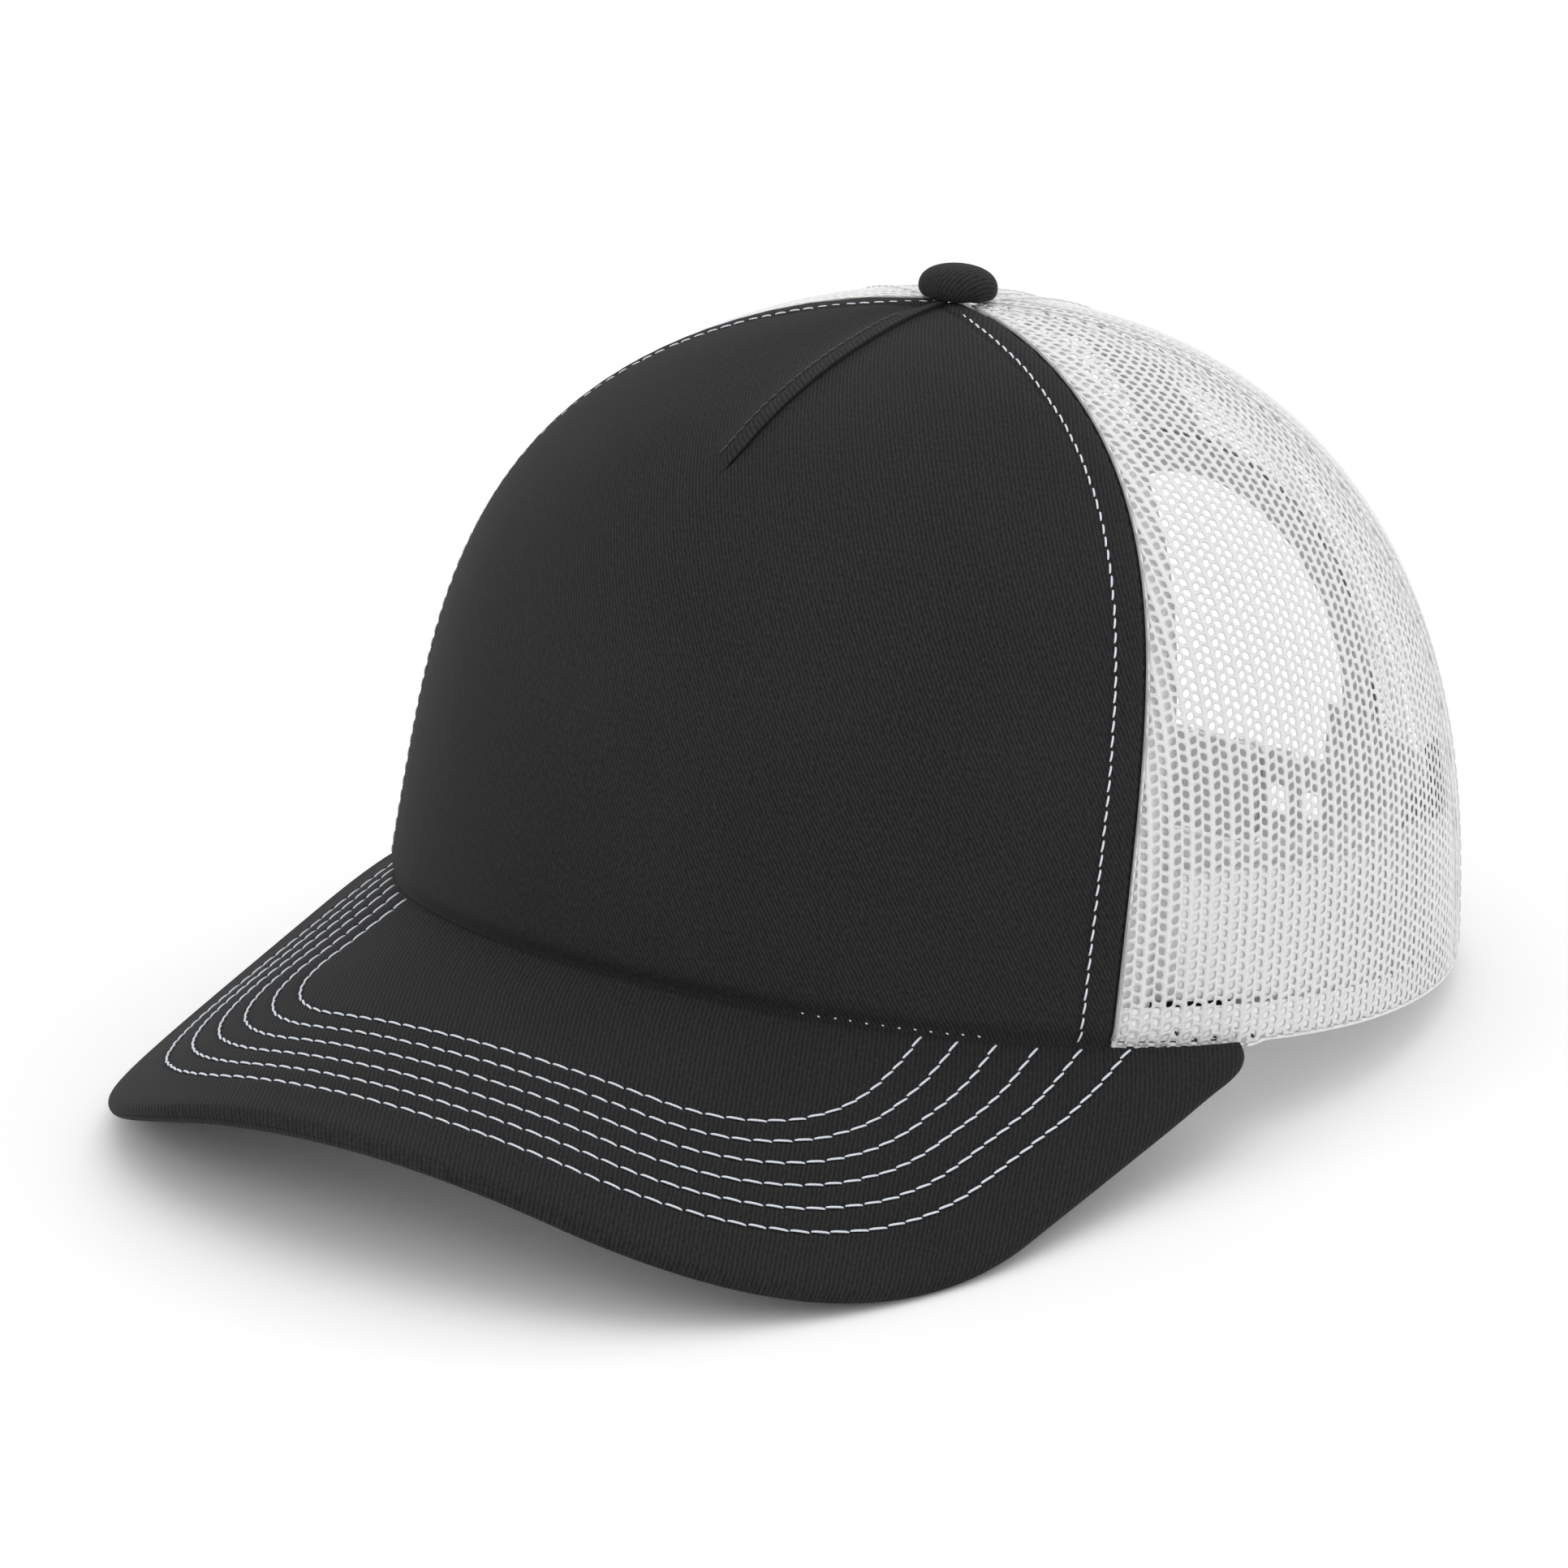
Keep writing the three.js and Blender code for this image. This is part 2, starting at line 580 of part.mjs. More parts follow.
add('strap_tab_left', 'strap_white', strapTab(1, STRAP.outer));
add('strap_tab_right', 'strap_white', strapTab(-1, STRAP.inner));
add('visor_top_cover', 'twill_black', visorCover(1));
add('visor_board', 'board_grey', visorBoard());
add('visor_under_cover', 'twill_black', visorCover(-1));
add('button_cover', 'twill_black', turned(BUTTON.cover));
add('button_shell', 'steel', turned(BUTTON.shell));
add('button_rivet', 'steel', turned(BUTTON.rivet));
add('button_washer', 'steel', turned(BUTTON.washer));

export default cap;
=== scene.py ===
# Trucker mesh cap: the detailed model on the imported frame.
# Shape formulas are in the wearer's frame (mm, rim plane level, front towards -Y);
# place() tips them to the attitude of the cap standing on a table, in metres.
import math

import bpy
import numpy as np
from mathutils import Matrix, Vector


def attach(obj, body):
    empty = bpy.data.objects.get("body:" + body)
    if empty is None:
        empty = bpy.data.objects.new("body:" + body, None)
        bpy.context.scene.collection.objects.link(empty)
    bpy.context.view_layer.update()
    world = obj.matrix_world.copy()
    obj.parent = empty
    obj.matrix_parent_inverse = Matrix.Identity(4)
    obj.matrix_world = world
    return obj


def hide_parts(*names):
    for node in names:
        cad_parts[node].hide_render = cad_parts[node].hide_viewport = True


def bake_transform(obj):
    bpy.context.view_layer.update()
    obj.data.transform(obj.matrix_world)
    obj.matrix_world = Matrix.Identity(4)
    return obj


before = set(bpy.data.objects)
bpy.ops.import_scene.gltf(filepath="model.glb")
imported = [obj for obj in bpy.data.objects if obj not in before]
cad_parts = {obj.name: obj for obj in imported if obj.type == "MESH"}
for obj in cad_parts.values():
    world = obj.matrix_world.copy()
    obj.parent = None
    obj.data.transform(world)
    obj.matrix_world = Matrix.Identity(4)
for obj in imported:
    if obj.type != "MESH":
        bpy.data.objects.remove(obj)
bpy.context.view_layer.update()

rng = np.random.default_rng(11)

# ------------------------------------------------------------------ dimensions
FRONT, BACK, HALF, HEIGHT = 95.2, 99.7, 86.0, 106.0
N, N_FRONT, M, M_FRONT = 2.586, 5.226, 2.243, 1.496
LEAN, LEAN_FRONT, TOP_SHIFT = 0.024, 0.154, -3.36
FLAT_BACK, FLAT_POWER = 0.084, 6
HEM_RISE, HEM_SPREAD, HEM_SWELL, HEM_TUCK = 7.33, 1.469, -1.04, 2.2
FRONT_SEAM = (57.12, 5.345, 1.737, 4.735)
SIDE_SEAM = math.radians(120)
PITCH, SHIFT_Y, SHIFT_Z = math.radians(-7.02), 32.02, 10.79
ARCH_HALF, ARCH_LEG, ARCH_TOP = 27.9, 30.0, 67.5
TOP_RING = 4.0
BAND_END = math.radians(160)  # how far round the sweatband reaches
SLOPE, BEND, TIGHTEN, CONE = math.radians(14.58), 155.4, 0.172, -0.2547
SAG, ROOT = -0.7067, 6.2
REACH, TIP_R, CORNER_R, VISOR_HALF = 60.58, 217.0, 61.17, 87.88
FLARE, VISOR_T, VISOR_END = math.radians(-1.545), 3.15, math.radians(72.5)
ROWS_INSET = [11.56 + 4.655 * k for k in range(6)]
STITCH, THREAD = 3.3, 0.21
NET_X, NET_Y = 2.08, 1.9
NET_LEAN, NET_THICK = math.tan(math.radians(6)), 0.3
NET_CUT = 0.25  # from a net's edge to its seam line
SEAM_PITCH, SEAM_THREAD = 2.35, 0.19  # the stitches along the crown's seams
TAPE_PITCH, TAPE_HALF, TAPE_ROW = 2.6, 6.5, 4.9  # stitches, half width, rows' offset
TAPE_FACES = (1.02, 1.6)  # the depths of a tape's two faces
SEAM_GAP = 0.45  # the visor's flat sheet stops this far from the crown
SIDES = ((1, "left"), (-1, "right"))


# ------------------------------------------------------------------ crown
def mix(a, b, t):
    return a + (b - a) * t


def clamp(q):
    return np.clip(q, 0, 1)


def ease(t):
    """A smooth step for t from 0 to 1."""
    return t * t * (3 - 2 * t)


def bell(x, wide):
    return np.exp(-(x / wide) ** 2)


def along(points):
    """The distance run along a line of points."""
    return np.r_[0, np.cumsum(np.linalg.norm(np.diff(points, axis=0), axis=1))]


def sample(points, run, at):
    """A line of points read at other distances along it."""
    return np.stack([np.interp(at, run, c) for c in points.T], 1)


def pairs(a, b):
    return np.stack(np.broadcast_arrays(a, b), -1)


def halve(lo, hi, beyond, steps=34):
    """Close bounds of the place between lo and hi where beyond() becomes true."""
    for _ in range(steps):
        mid = (lo + hi) / 2
        past = beyond(mid)
        lo, hi = np.where(past, lo, mid), np.where(past, mid, hi)
    return lo, hi


def skin(turn, w):
    """A point of the plain crown: turn from the front, w its share of the height."""
    turn, w = np.broadcast_arrays(np.asarray(turn, float), np.asarray(w, float))
    cs = np.cos(turn)
    c = (1 + cs) / 2
    n, m = mix(N, N_FRONT, c * c), mix(M, M_FRONT, c * c)
    k = (1 - mix(LEAN, LEAN_FRONT, c) * w) * clamp(1 - np.abs(w) ** n) ** (1 / m)
    a = np.where(cs > 0, FRONT, BACK * (1 - FLAT_BACK * np.abs(cs) ** FLAT_POWER))
    y = -a * cs * k + TOP_SHIFT * clamp(w) ** 1.5
    return np.stack([HALF * np.sin(turn) * k, y, HEIGHT * w], -1)


def unit(v):
    return v / np.maximum(np.linalg.norm(v, axis=-1, keepdims=True), 1e-12)


def normal(turn, w):
    e = 1e-4
    w = np.asarray(w, float)
    hi = np.minimum(w + e, 1)
    across = skin(turn + e, w) - skin(turn - e, w)
    return unit(np.cross(across, skin(turn, hi) - skin(turn, hi - 2 * e)))


def junction(turn):
    """Height of the line where the visor meets the crown."""
    c, s = np.cos(turn), np.sin(turn)
    return hem(turn) + 1.2 * np.maximum(c, 0) - 0.12 - 0.8 * s * np.maximum(c, 0)


def pinch(turn):
    """How far the visor seam draws the cloth inwards."""
    return 1.45 * clamp(np.cos(turn)) ** 0.7


def crown(turn, w, depth):
    """The same at a depth inwards, drawn in at the visor's seam."""
    turn, w, depth = np.broadcast_arrays(*[np.asarray(q, float) for q in (turn, w, depth)])
    up = np.maximum(w * HEIGHT - junction(turn), 0)
    depth = depth + np.where(depth < 1, pinch(turn) * bell(up, 1.6), 0)
    return skin(turn, w) - normal(turn, w) * depth[..., None]


def girth(turn, w):
    """Millimetres round the crown per radian of turn."""
    return np.linalg.norm(skin(turn + 0.005, w) - skin(turn - 0.005, w), axis=-1) / 0.01


def hem(turn):
    """Height of the rim, which rises at the front."""
    t = np.arctan2(np.sin(turn), np.cos(turn))
    q = np.where(np.abs(t) < HEM_SPREAD * np.pi / 2, np.cos(t / HEM_SPREAD) ** 2, 0)
    return HEM_RISE * q + HEM_SWELL * 4 * q * (1 - q)


def tucked(turn):
    """The lower edge of the cloth, which goes on down behind the visor."""
    away = np.abs(np.degrees(np.arctan2(np.sin(turn), np.cos(turn))))
    return hem(turn) - HEM_TUCK * clamp(hem(turn) / 2) * clamp((76 - away) / 5)


def ring(turn, radius):
    """The height, as a share, at which the crown has drawn in to a radius."""
    turn = np.asarray(turn, float)

    def inside(w):
        p = skin(turn, w)
        return np.hypot(p[..., 0], p[..., 1] - TOP_SHIFT) <= radius

    return halve(np.full(turn.shape, 0.6), np.ones(turn.shape), inside)[0]


def front_seam(w):
    w0 = float(hem(math.radians(60))) / HEIGHT
    t = clamp((np.asarray(w, float) - w0) / (1 - w0))
    s = FRONT_SEAM
    return np.radians(s[0] + t * (s[1] + t * (s[2] + t * s[3])))


def place(p):
    p = np.asarray(p, float)
    c, s = math.cos(PITCH), math.sin(PITCH)
    y = p[..., 1] * c - p[..., 2] * s + SHIFT_Y
    z = p[..., 1] * s + p[..., 2] * c + SHIFT_Z
    return np.stack([p[..., 0], y, z], -1) / 1000


def rows_up(low, high, count):
    """Heights from low to high, evenly spaced along the meridian of the side."""
    w = 1 - np.linspace(1, 0, 400) ** 2
    p = skin(np.full(400, math.radians(60)), w)
    run = along(p)
    even = np.interp(np.linspace(0, run[-1], count), run, w)
    return mix(low, high, even)


def wave(*terms):
    """A fixed sum of sines, each given as its amplitude and its angle."""
    return sum(a * np.sin(q) for a, q in terms)


# ------------------------------------------------------------------ mesh builder
def hoops(i):
    """The faces round a tube whose vertex numbers are the rows of i."""
    after = np.roll(i, -1, 1)
    return np.stack([i[:-1], after[:-1], after[1:], i[1:]], -1).reshape(-1, 4)


def linked(name, data):
    ob = bpy.data.objects.new(name, data)
    bpy.context.scene.collection.objects.link(ob)
    return ob


class Piece:
    def __init__(self):
        self.v, self.uv, self.f, self.n = [], [], [], 0

    def raw(self, pts, faces, uv=None):
        pts = np.asarray(pts, float).reshape(-1, 3)
        self.v.append(pts)
        self.uv.append(pts[:, :2] if uv is None else np.asarray(uv, float).reshape(-1, 2))
        self.f += [np.asarray(f, np.int64) + self.n for f in faces if len(f)]
        self.n += len(pts)

    def shell(self, outer, inner, uv):
        """Two matching grids joined round their edges into one closed skin."""
        a, b = outer.shape[:2]
        i = np.arange(a * b).reshape(a, b)
        k = i + a * b

        def quads(p, q, r, s):
            return np.stack([x.ravel() for x in (p, q, r, s)], 1)

        f = [
            quads(i[:-1, :-1], i[1:, :-1], i[1:, 1:], i[:-1, 1:]),
            quads(k[:-1, :-1], k[:-1, 1:], k[1:, 1:], k[1:, :-1]),
            quads(i[:-1, 0], k[:-1, 0], k[1:, 0], i[1:, 0]),
            quads(i[:-1, -1], i[1:, -1], k[1:, -1], k[:-1, -1]),
            quads(i[0, :-1], i[0, 1:], k[0, 1:], k[0, :-1]),
            quads(i[-1, :-1], k[-1, :-1], k[-1, 1:], i[-1, 1:]),
        ]
        self.raw(np.concatenate([outer.reshape(-1, 3), inner.reshape(-1, 3)]), f,
                 np.concatenate([uv.reshape(-1, 2)] * 2))

    def rope(self, turn, w, depth, rx, rz, sides=8):
        """A rope of elliptical section along a line on the crown; rz is outwards."""
        path, up = crown(turn, w, depth), unit(normal(turn, w))
        side = unit(np.cross(unit(np.gradient(path, axis=0)), up))
        a = np.linspace(0, 2 * np.pi, sides, endpoint=False)
        p = (path[:, None] + side[:, None] * (np.cos(a) * rx)[None, :, None]
             + up[:, None] * (np.sin(a) * rz)[None, :, None])
        i = np.arange(len(path) * sides).reshape(-1, sides)
        self.raw(p, [hoops(i), i[:1, ::-1], i[-1:]], pairs(along(path)[:, None], a * rx))

    def sew(self, turn, w, depth, *thread, inside=False, **more):
        """Stitches along a line on the crown, standing out of it or inwards."""
        up = normal(turn, w)
        self.stitches(crown(turn, w, depth), -up if inside else up, *thread, **more)

    def stitches(self, path, up, pitch=STITCH, length=None, radius=THREAD, lean=0.12,
                 lift=0.16):
        """A row of separate thread stitches lying on the cloth along a path."""
        length = pitch * 0.92 if length is None else length
        path, up = np.asarray(path, float), unit(np.asarray(up, float))
        run = along(path)
        count = max(int(run[-1] / pitch), 1)
        mid = (np.arange(count) + 0.5) * run[-1] / count
        t = np.array([-0.5, -0.44, -0.25, 0.0, 0.25, 0.44, 0.5])
        high = np.array([-0.35, 0.25, 0.9, 1.0, 0.9, 0.25, -0.35]) * lift
        fat = np.array([0.3, 0.85, 1.0, 1.0, 1.0, 0.85, 0.3]) * radius
        jit = rng.normal(0, 1, (count, 3))  # place, length and slant of each stitch
        at = (mid[:, None] + jit[:, :1] * 0.05 + t[None] * length
              * (1 + 0.04 * jit[:, 1:2])).ravel()
        p, u = sample(path, run, at), unit(sample(up, run, at))
        ahead, behind = sample(path, run, at + 0.2), sample(path, run, at - 0.2)
        side = unit(np.cross(unit(ahead - behind), u))
        sway = (t[None] * 2 * lean + jit[:, 2:] * 0.04).ravel()
        p = p + u * np.tile(high, count)[:, None] + side * sway[:, None]
        sides = 6
        a = np.linspace(0, 2 * np.pi, sides, endpoint=False)
        r = np.tile(fat, count)[:, None]
        v = (p[:, None] + side[:, None] * (np.cos(a)[None] * r)[..., None]
             + u[:, None] * (np.sin(a)[None] * r * 0.8)[..., None])
        i = np.arange(count * len(t) * sides).reshape(count, len(t), sides)
        nx = np.roll(i, -1, 2)
        f = np.stack([i[:, :-1], nx[:, :-1], nx[:, 1:], i[:, 1:]], -1).reshape(-1, 4)
        ends = [i[:, 0, ::-1], i[:, -1]]
        self.raw(v, [f, *ends], pairs(at[:, None], a * radius))

    def make(self, name, slot, material, replaces=(), body="cap"):
        me = bpy.data.meshes.new(name)
        v = place(np.concatenate(self.v)).astype(np.float32)
        uv = np.concatenate(self.uv)
        loops = np.concatenate([f.ravel() for f in self.f])
        sizes = np.concatenate([np.full(len(f), f.shape[1]) for f in self.f])
        me.vertices.add(len(v))
        me.vertices.foreach_set("co", v.ravel())
        me.loops.add(len(loops))
        me.loops.foreach_set("vertex_index", loops.astype(np.int32))
        me.polygons.add(len(sizes))
        starts = np.r_[0, np.cumsum(sizes)[:-1]]
        me.polygons.foreach_set("loop_start", starts.astype(np.int32))
        me.polygons.foreach_set("use_smooth", np.full(len(sizes), True))
        me.uv_layers.new(name="cloth").data.foreach_set(
            "uv", (uv[loops] / 100).astype(np.float32).ravel())
        me.update(calc_edges=True)
        me.validate()
        me.materials.append(material)
        ob = linked(name, me)
        if body:
            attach(ob, body)
        if replaces:
            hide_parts(*replaces)
        return ob


# ------------------------------------------------------------------ materials
class Nodes:
    """A small writer of shader nodes; values are sockets or plain numbers."""

    def __init__(self, name):
        self.m = bpy.data.materials.new(name)
        self.m.use_nodes = True
        self.t = self.m.node_tree
        self.t.nodes.clear()
        out = self.t.nodes.new("ShaderNodeOutputMaterial")
        self.b = self.t.nodes.new("ShaderNodeBsdfPrincipled")
        self.t.links.new(self.b.outputs[0], out.inputs["Surface"])
        uv = self.t.nodes.new("ShaderNodeUVMap")
        uv.uv_map = "cloth"
        split = self.t.nodes.new("ShaderNodeSeparateXYZ")
        self.t.links.new(uv.outputs[0], split.inputs[0])
        self.x = self.calc("MULTIPLY", split.outputs[0], 100.0)
        self.y = self.calc("MULTIPLY", split.outputs[1], 100.0)

    def put(self, socket, value):
        if isinstance(value, bpy.types.NodeSocket):
            self.t.links.new(value, socket)
        else:
            socket.default_value = value

    def calc(self, op, a, b=0.0, c=0.0):
        n = self.t.nodes.new("ShaderNodeMath")
        n.operation = op
        for s, v in zip(n.inputs, (a, b, c)):
            self.put(s, v)
        return n.outputs[0]

    def times(self, a, k, plus):
        return self.calc("MULTIPLY_ADD", a, k, plus)

    def limit(self, v):
        return self.calc("MINIMUM", self.calc("MAXIMUM", v, 0.0), 1.0)

    def band(self, x, y, pitch, lean=0.0, sway=0.0):
        """Sine ribs of a pitch in mm; lean turns them from along y, sway shifts them."""
        k = 2 * math.pi / pitch
        p = self.times(x, k * math.cos(lean), self.times(y, k * math.sin(lean), sway))
        return self.calc("SINE", p)

    def noise(self, scale, detail, on_cloth=False):
        """Noise in the object's space, or in mm on the cloth."""
        n = self.t.nodes.new("ShaderNodeTexNoise")
        n.inputs["Scale"].default_value = scale
        n.inputs["Detail"].default_value = detail
        if on_cloth:
            cloth = self.t.nodes.new("ShaderNodeCombineXYZ")
            self.t.links.new(self.x, cloth.inputs[0])
            self.t.links.new(self.y, cloth.inputs[1])
            where = cloth.outputs[0]
        else:
            where = self.t.nodes.new("ShaderNodeTexCoord").outputs["Object"]
        self.t.links.new(where, n.inputs["Vector"])
        return n.outputs["Fac"]

    def blend(self, fac, a, b):
        n = self.t.nodes.new("ShaderNodeMix")
        n.data_type = "RGBA"
        self.put(n.inputs[0], fac)
        self.put(n.inputs[6], (*a, 1) if isinstance(a, tuple) else a)
        self.put(n.inputs[7], (*b, 1) if isinstance(b, tuple) else b)
        return n.outputs[2]

    def spread(self, v, low, high):
        """The middle of a noise, 0.3 to 0.7, spread from low to high."""
        n = self.t.nodes.new("ShaderNodeMapRange")
        for s, q in zip(n.inputs, (v, 0.3, 0.7, low, high)):
            self.put(s, q)
        return n.outputs[0]

    def bump(self, height, distance, strength):
        n = self.t.nodes.new("ShaderNodeBump")
        n.inputs["Strength"].default_value = strength
        n.inputs["Distance"].default_value = distance
        self.t.links.new(height, n.inputs["Height"])
        self.t.links.new(n.outputs[0], self.b.inputs["Normal"])

    def finish(self, colour, rough):
        self.put(self.b.inputs["Base Color"], colour)
        self.put(self.b.inputs["Roughness"], rough)
        return self.m


def sheen(n, weight, rough):
    n.b.inputs["Sheen Weight"].default_value = weight
    n.b.inputs["Sheen Roughness"].default_value = rough


def twill(name, pitch, lean, dark, light, fuzz=0.025):
    n = Nodes(name)
    hair = n.noise(1.3, 6.0, on_cloth=True)
    slow = n.noise(28.0, 3.0)
    sway = n.calc("MULTIPLY", n.noise(0.6, 3.0, on_cloth=True), 5.0)
    rib = n.band(n.x, n.y, pitch, lean, sway)
    yarn = n.band(n.x, n.y, pitch * 0.62, lean + math.pi / 2 + 0.35, sway)
    tone = n.times(rib, 0.27, 0.42)
    tone = n.times(yarn, 0.09, tone)
    tone = n.times(n.calc("SUBTRACT", hair, 0.5), 1.25, tone)
    tone = n.times(n.calc("SUBTRACT", slow, 0.5), 0.35, tone)
    tone = n.limit(tone)
    high = n.times(yarn, 0.2, n.times(rib, 0.45, hair))
    n.bump(high, 0.00006, 0.8)
    sheen(n, fuzz, 0.5)
    n.b.inputs["Specular IOR Level"].default_value = 0.12
    return n.finish(n.blend(tone, dark, light),
                    n.spread(hair, 0.82, 0.95))


def weave(name, pitch, dark, light, rough=0.75, depth=0.00005, fuzz=0.1):
    n = Nodes(name)
    a, b = n.band(n.x, n.y, pitch), n.band(n.y, n.x, pitch)
    cross = n.calc("MULTIPLY", a, b)
    hair = n.noise(1.4, 4.0, on_cloth=True)
    tone = n.times(cross, 0.35, hair)
    tone = n.limit(tone)
    n.bump(n.times(cross, 0.6, hair), depth, 0.8)
    sheen(n, fuzz, 0.4)
    return n.finish(n.blend(tone, dark, light),
                    n.spread(hair, rough - 0.06, rough + 0.08))


def knit(name):
    n = Nodes(name)
    twist = n.band(n.x, n.y, 0.34, 0.9)
    hair = n.noise(2.2, 3.0, on_cloth=True)
    slow = n.noise(45.0, 2.0)
    tone = n.times(twist, 0.12, n.times(slow, 0.5, 0.25))
    n.bump(n.times(twist, 0.4, hair), 0.00004, 0.6)
    sheen(n, 0.12, 0.35)
    n.b.inputs["Subsurface Weight"].default_value = 0.75
    n.b.inputs["Subsurface Radius"].default_value = (1, 1, 1)
    n.b.inputs["Subsurface Scale"].default_value = 0.0012
    return n.finish(n.blend(tone, (0.76, 0.76, 0.762), (0.84, 0.84, 0.84)),
                    n.spread(hair, 0.42, 0.6))


def thread(name, dark, light, rough=0.45):
    n = Nodes(name)
    twist = n.band(n.x, n.y, 0.3, 1.0)
    tone = n.times(twist, 0.4, 0.5)
    n.bump(twist, 0.00003, 0.7)
    sheen(n, 0.25, 0.3)
    return n.finish(n.blend(tone, dark, light), rough)


def moulded(name, dark, light, rough, grain=900.0, depth=0.00001, metal=0.0):
    n = Nodes(name)
    g, slow = n.noise(grain, 3.0), n.noise(60.0, 2.0)
    n.bump(g, depth, 0.5)
    n.b.inputs["Metallic"].default_value = metal
    return n.finish(n.blend(slow, dark, light),
                    n.spread(g, rough - 0.05, rough + 0.08))


TWILL = twill("twill_front", 0.6, math.radians(33), (0.0085, 0.0085, 0.0088),
              (0.034, 0.034, 0.035))
# The visor is the same black twill with its ribs at another pitch and slant; its colours
# are set darker than the front's as painted shade, standing in for the dimmer light that
# falls on the visor.
TWILL_VISOR_SHADED = twill("twill_visor_painted_shade", 0.72, math.radians(-30), (0.0075, 0.0075, 0.0078),
                    (0.029, 0.029, 0.030))
TWILL_BUTTON = twill("twill_button", 0.8, math.radians(-8), (0.0095, 0.0095, 0.0098),
                     (0.036, 0.036, 0.037))
NET = knit("mesh_knit")
TAPE = weave("tape_weave", 0.7, (0.85, 0.85, 0.85), (0.94, 0.94, 0.935))
BANDCLOTH = weave("sweatband_weave", 0.5, (0.84, 0.84, 0.835), (0.93, 0.93, 0.925))
BUCKRAM = weave("buckram_weave", 1.3, (0.84, 0.84, 0.835), (0.94, 0.94, 0.935), 0.8,
                0.00015)
FOAM = moulded("foam_cells", (0.86, 0.86, 0.86), (0.93, 0.93, 0.93), 0.95, 1400.0, 0.0001)
PLASTIC = moulded("strap_plastic", (0.80, 0.81, 0.82), (0.88, 0.89, 0.9), 0.34)
BOARD = moulded("board_plastic", (0.12, 0.12, 0.13), (0.2, 0.2, 0.21), 0.55)
STEEL = moulded("pressed_steel", (0.5, 0.5, 0.51), (0.66, 0.66, 0.67), 0.34, 500.0,
                0.00001, 1.0)
THREAD_GREY = thread("thread_grey", (0.60, 0.65, 0.74), (0.86, 0.90, 0.95))
THREAD_BLACK = thread("thread_black", (0.012, 0.012, 0.013), (0.04, 0.04, 0.042), 0.6)
THREAD_WHITE = thread("thread_white", (0.74, 0.75, 0.76), (0.93, 0.93, 0.93))


# ------------------------------------------------------------------ front panel
SEAM_STITCH = 5.7  # from the seam to the row of contrast stitches
DART_END = 85.0 / HEIGHT
DART_ROW = 2.1  # from the fold's edge to the row that holds it
NARROW = 19  # where the panel's half width is under this, its details shrink with it


def dart_size(w):
    return ease(clamp((w - DART_END) * HEIGHT / 4))


def dart_lift(x, w):
    """The folded centre pleat: the wearer's right overlaps the left, with a step down."""
    fold = bell(x, 3.6) * clamp(-x / 0.12) ** 0.5
    slit = np.where(x >= 0, 0.2 * bell(x - 1.2, 0.7)
                    - 0.9 * bell(np.maximum(x - 0.3, 0), 0.26), 0)
    press = -0.14 * bell(x + DART_ROW, 0.4)
    return (0.95 * fold + slit + press) * dart_size(w)


def dart_overhang(x, w):
    """How far the fold's edge leans over the slit."""
    return np.where(x < 0, 1.25 * bell(x, 0.8), 0) * dart_size(w)


def front_relief(turn, w, x, edge, scale):
    """Height of the cloth over the plain skin, in mm."""
    roll = -0.75 * bell(edge, 0.45)
    swell = 0.28 * bell(edge - 2.8, 2.2)
    seam = -0.26 * bell(edge - SEAM_STITCH, 0.55)
    pucker = 0.05 * np.sin(w * HEIGHT * 1.9) * bell(edge - SEAM_STITCH, 2.5)
    soft = wave((0.16, 3.1 * turn + 5.2 * w + 0.4), (0.12, 5.3 * turn - 7.1 * w),
                (0.07, 9.1 * turn + 13.0 * w + 1.0))
    crease = 0.18 * bell(x + 2.0, 3.5) * bell(w - 0.74, 0.06)
    return roll + swell + seam + pucker + soft * clamp(edge / 8) + crease \
        + dart_lift(x / scale, w)


def front_columns(half_mm):
    """Distances in mm from the centre line, finer at the dart and at the seams."""
    near = np.r_[0:1.2:0.1, 1.2:7:0.42]
    edge = np.r_[0:1.2:0.15, 1.2:9:0.5]
    f = np.minimum(1, half_mm / NARROW)
    mid = np.linspace(0, 1, 40)[1:-1]
    left = near[None] * f[:, None]
    right = half_mm[:, None] - edge[None, ::-1] * f[:, None]
    middle = mix(left[:, -1:], right[:, :1], mid[None])
    return np.concatenate([left, middle, right], 1)


def front_grid(depth, lift=True):
    """The panel's points and flat places at a depth; relief only if it is lifted."""
    rows = rows_up(0, 1, 230)[:, None]
    w = mix(float(tucked(0.0)) / HEIGHT, 0.998, rows)
    for _ in range(4):
        at_seam = w[:, -1]
        seam = front_seam(at_seam)
        g = girth(seam * 0.5, at_seam)
        half = seam * g - 0.12 + 0.2 * np.sin(at_seam * HEIGHT * 2 * np.pi / 1.93)
        x = front_columns(half)
        x = np.concatenate([-x[:, :0:-1], x], 1)
        turn = x / g[:, None]
        w = mix(tucked(turn) / HEIGHT, ring(turn, TOP_RING), rows)
    edge = half[:, None] - np.abs(x)
    scale = np.minimum(1, half / NARROW)[:, None]
    rise = front_relief(turn, w, x, edge, scale) if lift else 0
    over = dart_overhang(x / scale, w) / g[:, None] if lift else 0
    p = crown(turn + over, w, depth - rise)
    uv = pairs(x, along(p[:, x.shape[1] // 2])[:, None])
    return p.transpose(1, 0, 2), uv.transpose(1, 0, 2)


def seam_path(side, offset, depth, low, high_radius, count=260, seam=front_seam):
    """Points, normals, turns and heights along a seam, offset mm to the front of it."""
    near = math.radians(60) if seam is front_seam else SIDE_SEAM
    w = rows_up(low / HEIGHT, float(ring(near, high_radius)), count)
    turn = side * (seam(w) - offset / girth(seam(w), w))
    return crown(turn, w, depth), normal(turn, w), turn, w


